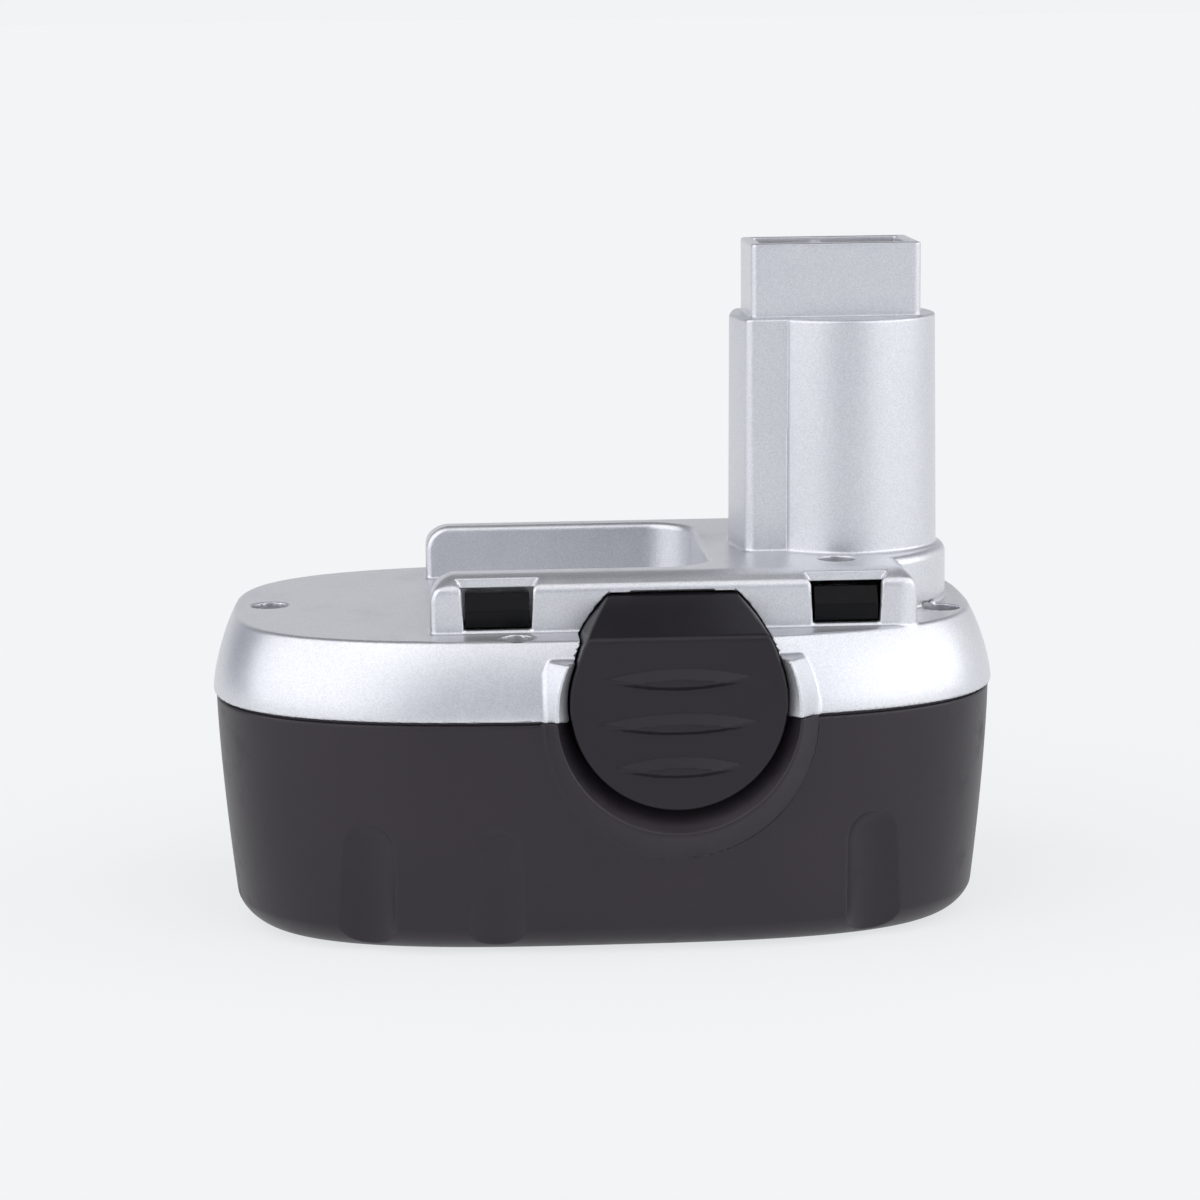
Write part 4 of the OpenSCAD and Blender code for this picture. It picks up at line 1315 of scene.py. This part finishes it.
    def build(self, step: float) -> bpy.types.Object:
        """Makes the moulding's mesh and puts it in the place of the CAD node.

        Args:
            step: Size of the search grid's cells.

        Returns:
            The moulding.
        """
        margin, wide = self.sizes.box_margin, self.sizes.box_half_width
        low = (-self.sizes.half_length - margin, -wide, self.sizes.seam - margin)
        high = (self.sizes.half_length + margin, wide, self.sizes.head_top + margin)
        piece = FieldMesher(low, high, step).build("silver_cover", self.distance)
        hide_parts("upper_cover")
        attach(piece, Body.PACK.value)
        return piece


@dataclass
class ReleaseButton:
    """A button cap: round grip with three lens shaped ridges, and a tongue that leans back to the rail."""

    sizes: PackSizes
    catch: Catch
    face: float = 44.5
    top_face: float = 31.8
    back: float = 37.1
    skin: float = 2.1
    rim: float = 1.6
    flange: float = 1.4
    flange_ring: tuple[float, float] = (16.4, 19.7)
    flange_top: float = 44.3
    cup_height: float = 38.0
    cup_ring: tuple[float, float] = (3.9, 5.1)
    cup_sink: float = 1.0
    hollow_top: float = 51.0
    tongue_base: float = 51.2
    front_edge: float = 0.7
    rim_edge: float = 0.45
    ridges: tuple[tuple[float, float], ...] = ((4.1, 26.0), (-3.4, 28.5), (-10.7, 22.5))
    ridge_height: float = 3.7
    ridge_rise: float = 0.85
    ridge_slopes: tuple[float, float] = (0.5, 0.2)
    face_true: float = 0.95
    box: tuple[float, tuple[float, float], tuple[float, float]] = (21.0, (28.5, 46.0), (22.0, 62.0))
    limit: int = 120_000

    def ridge_field(self, points: Points) -> np.ndarray:
        """How far the ridges raise the face: a lens between two arcs, gentle above and steeper below.

        Args:
            points: Places in millimetres.

        Returns:
            The rise in millimetres at each point.
        """
        side = points[:, 0] - self.sizes.catch
        rise = np.zeros(len(points))
        for offset, width in self.ridges:
            up = points[:, 2] - self.sizes.button_height - offset
            high = self.ridge_height
            radius = (width * width + high * high) / (4 * high)
            upper = radius - np.hypot(side, up + radius - high / 2)
            lower = radius - np.hypot(side, up - radius + high / 2)
            above, below = self.ridge_slopes
            share = np.clip(upper / (above * high), 0, 1) * np.clip(lower / (below * high), 0, 1)
            rise = np.maximum(rise, self.ridge_rise * share)
        return rise

    def distance(self, points: Points) -> np.ndarray:
        """The cap's distance field, drawn for the front.

        Args:
            points: Places in millimetres.

        Returns:
            The distance at each point, negative inside.
        """
        sizes, catch = self.sizes, self.catch
        out, z = -points[:, 1], points[:, 2]
        outline = catch.outline(points, 0.0)
        face = (out - self.face - self.ridge_field(points)) * self.face_true
        lean = slanted(out, z, (self.face, catch.crease), (self.top_face, catch.top))
        cap = both(outline, both(face, lean, self.front_edge), self.rim_edge)
        wedge_back = self.top_face - self.skin - out
        round_part = np.maximum(cap, self.back - out)
        tongue = np.maximum(np.maximum(cap, wedge_back), self.tongue_base - z)
        cavity = np.maximum(catch.outline(points, -self.rim), out - (self.face - self.skin))
        cavity = np.maximum(cavity, z - self.hollow_top)
        round_part = np.maximum(round_part, -cavity)
        side = points[:, 0] - sizes.catch
        behind = self.back - self.flange - out
        ring = np.hypot(side, z - sizes.button_height)
        flange = np.maximum(np.maximum(ring - self.flange_ring[1], self.flange_ring[0] - ring), behind)
        flange = np.maximum(np.maximum(flange, out - self.back), z - self.flange_top)
        reach = np.hypot(side, z - self.cup_height)
        cup = np.maximum(np.maximum(reach - self.cup_ring[1], self.cup_ring[0] - reach), behind)
        cup = np.maximum(cup, out - self.face + self.cup_sink)
        return np.minimum(np.minimum(round_part, tongue), np.minimum(flange, cup))

    def build(self, body: Body, step: float) -> bpy.types.Object:
        """Makes one cap and puts it in the place of its CAD node.

        Args:
            body: The catch that the cap rides on.
            step: Size of the search grid's cells.

        Returns:
            The cap.
        """
        front = body is Body.FRONT_CATCH
        turn = np.array([1.0, 1.0 if front else -1.0, 1.0])
        half_x, depths, heights = self.box
        near = (self.sizes.catch - half_x, -depths[1], heights[0])
        far = (self.sizes.catch + half_x, -depths[0], heights[1])
        low = near if front else (near[0], -far[1], near[2])
        high = far if front else (far[0], -near[1], far[2])
        name = "front_cap" if front else "rear_cap"
        mesher = FieldMesher(low, high, step, self.limit)
        piece = mesher.build(name, lambda points: self.distance(points * turn))
        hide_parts("front_button" if front else "rear_button")
        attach(piece, body.value)
        return piece


# ---------------------------------------------------------------- studio


def direction(azimuth: float, height: float) -> Vector:
    """Unit vector to a place in the room.

    Args:
        azimuth: Degrees to the right of straight ahead of the pack's front.
        height: Degrees over the floor.

    Returns:
        The vector from the pack.
    """
    turn, lift = math.radians(azimuth), math.radians(height)
    return Vector((math.sin(turn) * math.cos(lift), -math.cos(turn) * math.cos(lift), math.sin(lift)))


@dataclass(frozen=True)
class Softbox:
    """A large round soft light, so far away that it lights the whole floor evenly.

    Attributes:
        name: Name of the light.
        azimuth: Where it stands, in degrees to the right of straight ahead of the pack's front.
        height: Its height over the floor, in degrees.
        width: How wide it looks from the pack, in degrees.
        level: Light on a surface that faces it, in watts per square metre.
        colour: Its colour.
    """

    name: str
    azimuth: float
    height: float
    width: float
    level: float
    colour: tuple[float, float, float]

    def build(self) -> bpy.types.Object:
        """Adds the light.

        Returns:
            The light.
        """
        data = bpy.data.lights.new(self.name, "SUN")
        data.angle = math.radians(self.width)
        data.energy = self.level
        data.color = self.colour
        toward = direction(self.azimuth, self.height)
        light = bpy.data.objects.new(self.name, data)
        light.rotation_euler = toward.to_track_quat("Z", "Y").to_euler()
        light.location = toward * 2
        bpy.context.scene.collection.objects.link(light)
        return light


@dataclass
class Studio:
    """Pale floor, soft light and the photograph's viewpoint.

    The camera stands at a distance from the aim point, raised by an elevation, turned by a yaw, and rolled.
    """

    aim: tuple[float, float, float] = (0.0, 0.0, 0.0531)
    distance: float = 0.6
    elevation: float = 10.0
    yaw: float = -3.5
    roll: float = -0.6
    pixels_per_metre: float = 5664.0
    frame_pixels: float = 1200.0
    sensor: float = 36.0
    clip: tuple[float, float] = (0.01, 50.0)
    pale: tuple[float, float, float] = (0.879, 0.896, 0.905)
    room: tuple[float, float, float] = (0.19, 0.21, 0.27)
    ceiling: tuple[float, float, float] = (0.12, 0.125, 0.14)
    sky: tuple[float, float, float] = (0.48, 0.49, 0.505)
    backdrop: tuple[float, float] = (0.72, 0.98)
    side_wall: tuple[float, float] = (0.2, 0.75)
    ceiling_edge: tuple[float, float] = (0.3, 0.7)
    floor_radius: float = 30.0
    floor_drop: float = 0.0002
    floor_evenness: float = 0.8
    floor_lit: float = 0.94
    floor_sides: int = 64
    softboxes: tuple[Softbox, ...] = (
        Softbox("left_softbox", -64.0, 26.0, 84.0, 2.05, (1.0, 0.995, 0.985)),
        Softbox("right_softbox", 62.0, 26.0, 84.0, 1.7, (0.99, 0.995, 1.0)),
        Softbox("front_softbox", -3.0, 56.0, 48.0, 0.42, (1.0, 1.0, 1.0)),
    )

    def camera(self) -> bpy.types.Object:
        """Makes the camera and sets it as the scene's.

        Returns:
            The camera.
        """
        roll = math.radians(self.roll)
        aim = Vector(self.aim)
        away = direction(self.yaw, self.elevation)
        right = (-away).cross(Vector((0, 0, 1))).normalized()
        up = right.cross(-away)
        across = math.cos(roll) * right + math.sin(roll) * up
        upright = math.cos(roll) * up - math.sin(roll) * right
        data = bpy.data.cameras.new("viewpoint")
        data.sensor_width = self.sensor
        data.lens = self.pixels_per_metre * self.distance / self.frame_pixels * data.sensor_width
        data.clip_start, data.clip_end = self.clip
        camera = bpy.data.objects.new("viewpoint", data)
        place = aim + self.distance * away
        camera.matrix_world = Matrix(
            [[across[i], upright[i], away[i], place[i]] for i in range(3)] + [[0, 0, 0, 1]]
        )
        bpy.context.scene.collection.objects.link(camera)
        bpy.context.scene.camera = camera
        return camera

    def shown(self, nodes: Nodes) -> bpy.types.NodeSocket:
        """1 for rays that look straight at the background or at its mirror image, else 0.

        Args:
            nodes: The tree that the test goes into.

        Returns:
            The socket that gives 1 or 0.
        """
        path = nodes.add("ShaderNodeLightPath")
        seen = path.outputs["Is Camera Ray"]
        for kind in ("Is Glossy Ray", "Is Transmission Ray"):
            larger = nodes.add("ShaderNodeMath", {0: seen, 1: path.outputs[kind]}, operation="MAXIMUM")
            seen = larger.outputs[0]
        return seen

    def world(self) -> None:
        """Sets an even sky. The backdrop behind the pack shows pale, the room and its ceiling are dimmer."""
        world = bpy.data.worlds.new("studio")
        bpy.context.scene.world = world
        world.use_nodes = True
        tree = world.node_tree
        tree.nodes.clear()
        nodes = Nodes(tree)
        way = nodes.add("ShaderNodeTexCoord")
        parts = nodes.add("ShaderNodeSeparateXYZ", {0: way.outputs["Generated"]})
        straight_on = nodes.ramp(parts.outputs[1], *self.backdrop, 0.0, 1.0)
        beside = nodes.ramp(parts.outputs[0], *self.side_wall, 0.0, 1.0)
        behind = nodes.add("ShaderNodeMath", {0: straight_on, 1: beside}, operation="MAXIMUM").outputs[0]
        overhead = nodes.ramp(parts.outputs[2], *self.ceiling_edge, 0.0, 1.0)
        looked_at = nodes.add("ShaderNodeLightPath").outputs["Is Camera Ray"]
        colour = (*self.room, 1)
        for share, over in ((behind, self.pale), (overhead, self.ceiling), (looked_at, self.pale)):
            around = nodes.add("ShaderNodeMix", {0: share, 6: colour, 7: (*over, 1)}, data_type="RGBA")
            colour = around.outputs[2]
        sky = nodes.add("ShaderNodeBackground", {"Color": (*self.sky, 1), "Strength": 1.0})
        seen = nodes.add("ShaderNodeBackground", {"Color": colour, "Strength": 1.0})
        mix = nodes.add("ShaderNodeMixShader", {0: self.shown(nodes), 1: sky.outputs[0], 2: seen.outputs[0]})
        nodes.add("ShaderNodeOutputWorld", {"Surface": mix.outputs[0]})

    def floor(self) -> bpy.types.Object:
        """Lays a round pale floor. Most of what the camera sees of it is its own colour, the rest is lit.

        Returns:
            The floor.
        """
        angles = np.linspace(0, 2 * math.pi, self.floor_sides + 1)[:-1]
        rim = np.stack([np.cos(angles), np.sin(angles), np.zeros_like(angles)], 1) * self.floor_radius
        mesh = bpy.data.meshes.new("floor")
        mesh.from_pydata((rim - [0, 0, self.floor_drop]).tolist(), [], [list(range(len(rim)))])
        floor = bpy.data.objects.new("floor", mesh)
        bpy.context.scene.collection.objects.link(floor)
        material = bpy.data.materials.new("floor_pale")
        material.use_nodes = True
        tree = material.node_tree
        tree.nodes.clear()
        nodes = Nodes(tree)
        paint = (*[self.floor_lit * tone for tone in self.pale], 1)
        lit = nodes.add("ShaderNodeBsdfDiffuse", {"Color": paint})
        even = nodes.add("ShaderNodeEmission", {"Color": (*self.pale, 1), "Strength": 1.0})
        evenness = {0: self.shown(nodes), 1: self.floor_evenness}
        share = nodes.add("ShaderNodeMath", evenness, operation="MULTIPLY")
        mix = nodes.add("ShaderNodeMixShader", {0: share.outputs[0], 1: lit.outputs[0], 2: even.outputs[0]})
        nodes.add("ShaderNodeOutputMaterial", {"Surface": mix.outputs[0]})
        mesh.materials.append(material)
        return floor

    def build(self) -> None:
        """Sets up everything that isn't the object."""
        self.camera()
        self.world()
        self.floor()
        for softbox in self.softboxes:
            softbox.build()
        bpy.context.scene.view_settings.view_transform = "Standard"


# ---------------------------------------------------------------- main


def dress_cad_nodes(frame: dict, materials: dict[str, bpy.types.Material]) -> None:
    """Gives each CAD node the material of its slot.

    Args:
        materials: Materials by slot.
    """
    for row in frame["record"]["subparts"]:
        node = frame["nodes"][row["node"]]
        node.data.materials.clear()
        node.data.materials.append(materials[row["material_slot"]])


def write_sizes() -> None:
    """Brings the view layer up to date, so that every piece stands where it was put.
    """
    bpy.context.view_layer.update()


def main() -> None:
    """Builds the studio and the pack, piece by piece."""
    logging.basicConfig(level=logging.INFO, format="%(name)s: %(message)s")
    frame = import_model()
    Studio().build()
    effects = Effects()
    materials = {slot: finish.material(effects) for slot, finish in finishes().items()}
    dress_cad_nodes(frame, materials)
    sizes = PackSizes()
    catch = Catch(sizes)
    moulding_step, cap_step = STEPS
    button = ReleaseButton(sizes, catch)
    pieces = {
        "case_plastic": LowerCase(sizes, catch).build(moulding_step),
        "silver_paint": [UpperCover(sizes, catch).build(moulding_step)],
        "button_plastic": [button.build(body, cap_step) for body in (Body.FRONT_CATCH, Body.REAR_CATCH)],
    }
    for slot, made in pieces.items():
        for piece in made:
            piece.data.materials.clear()
            piece.data.materials.append(materials[slot])
            LOG.info("%s: %d faces", piece.name, len(piece.data.polygons))
    write_sizes()


if __name__ == "__main__":
    main()
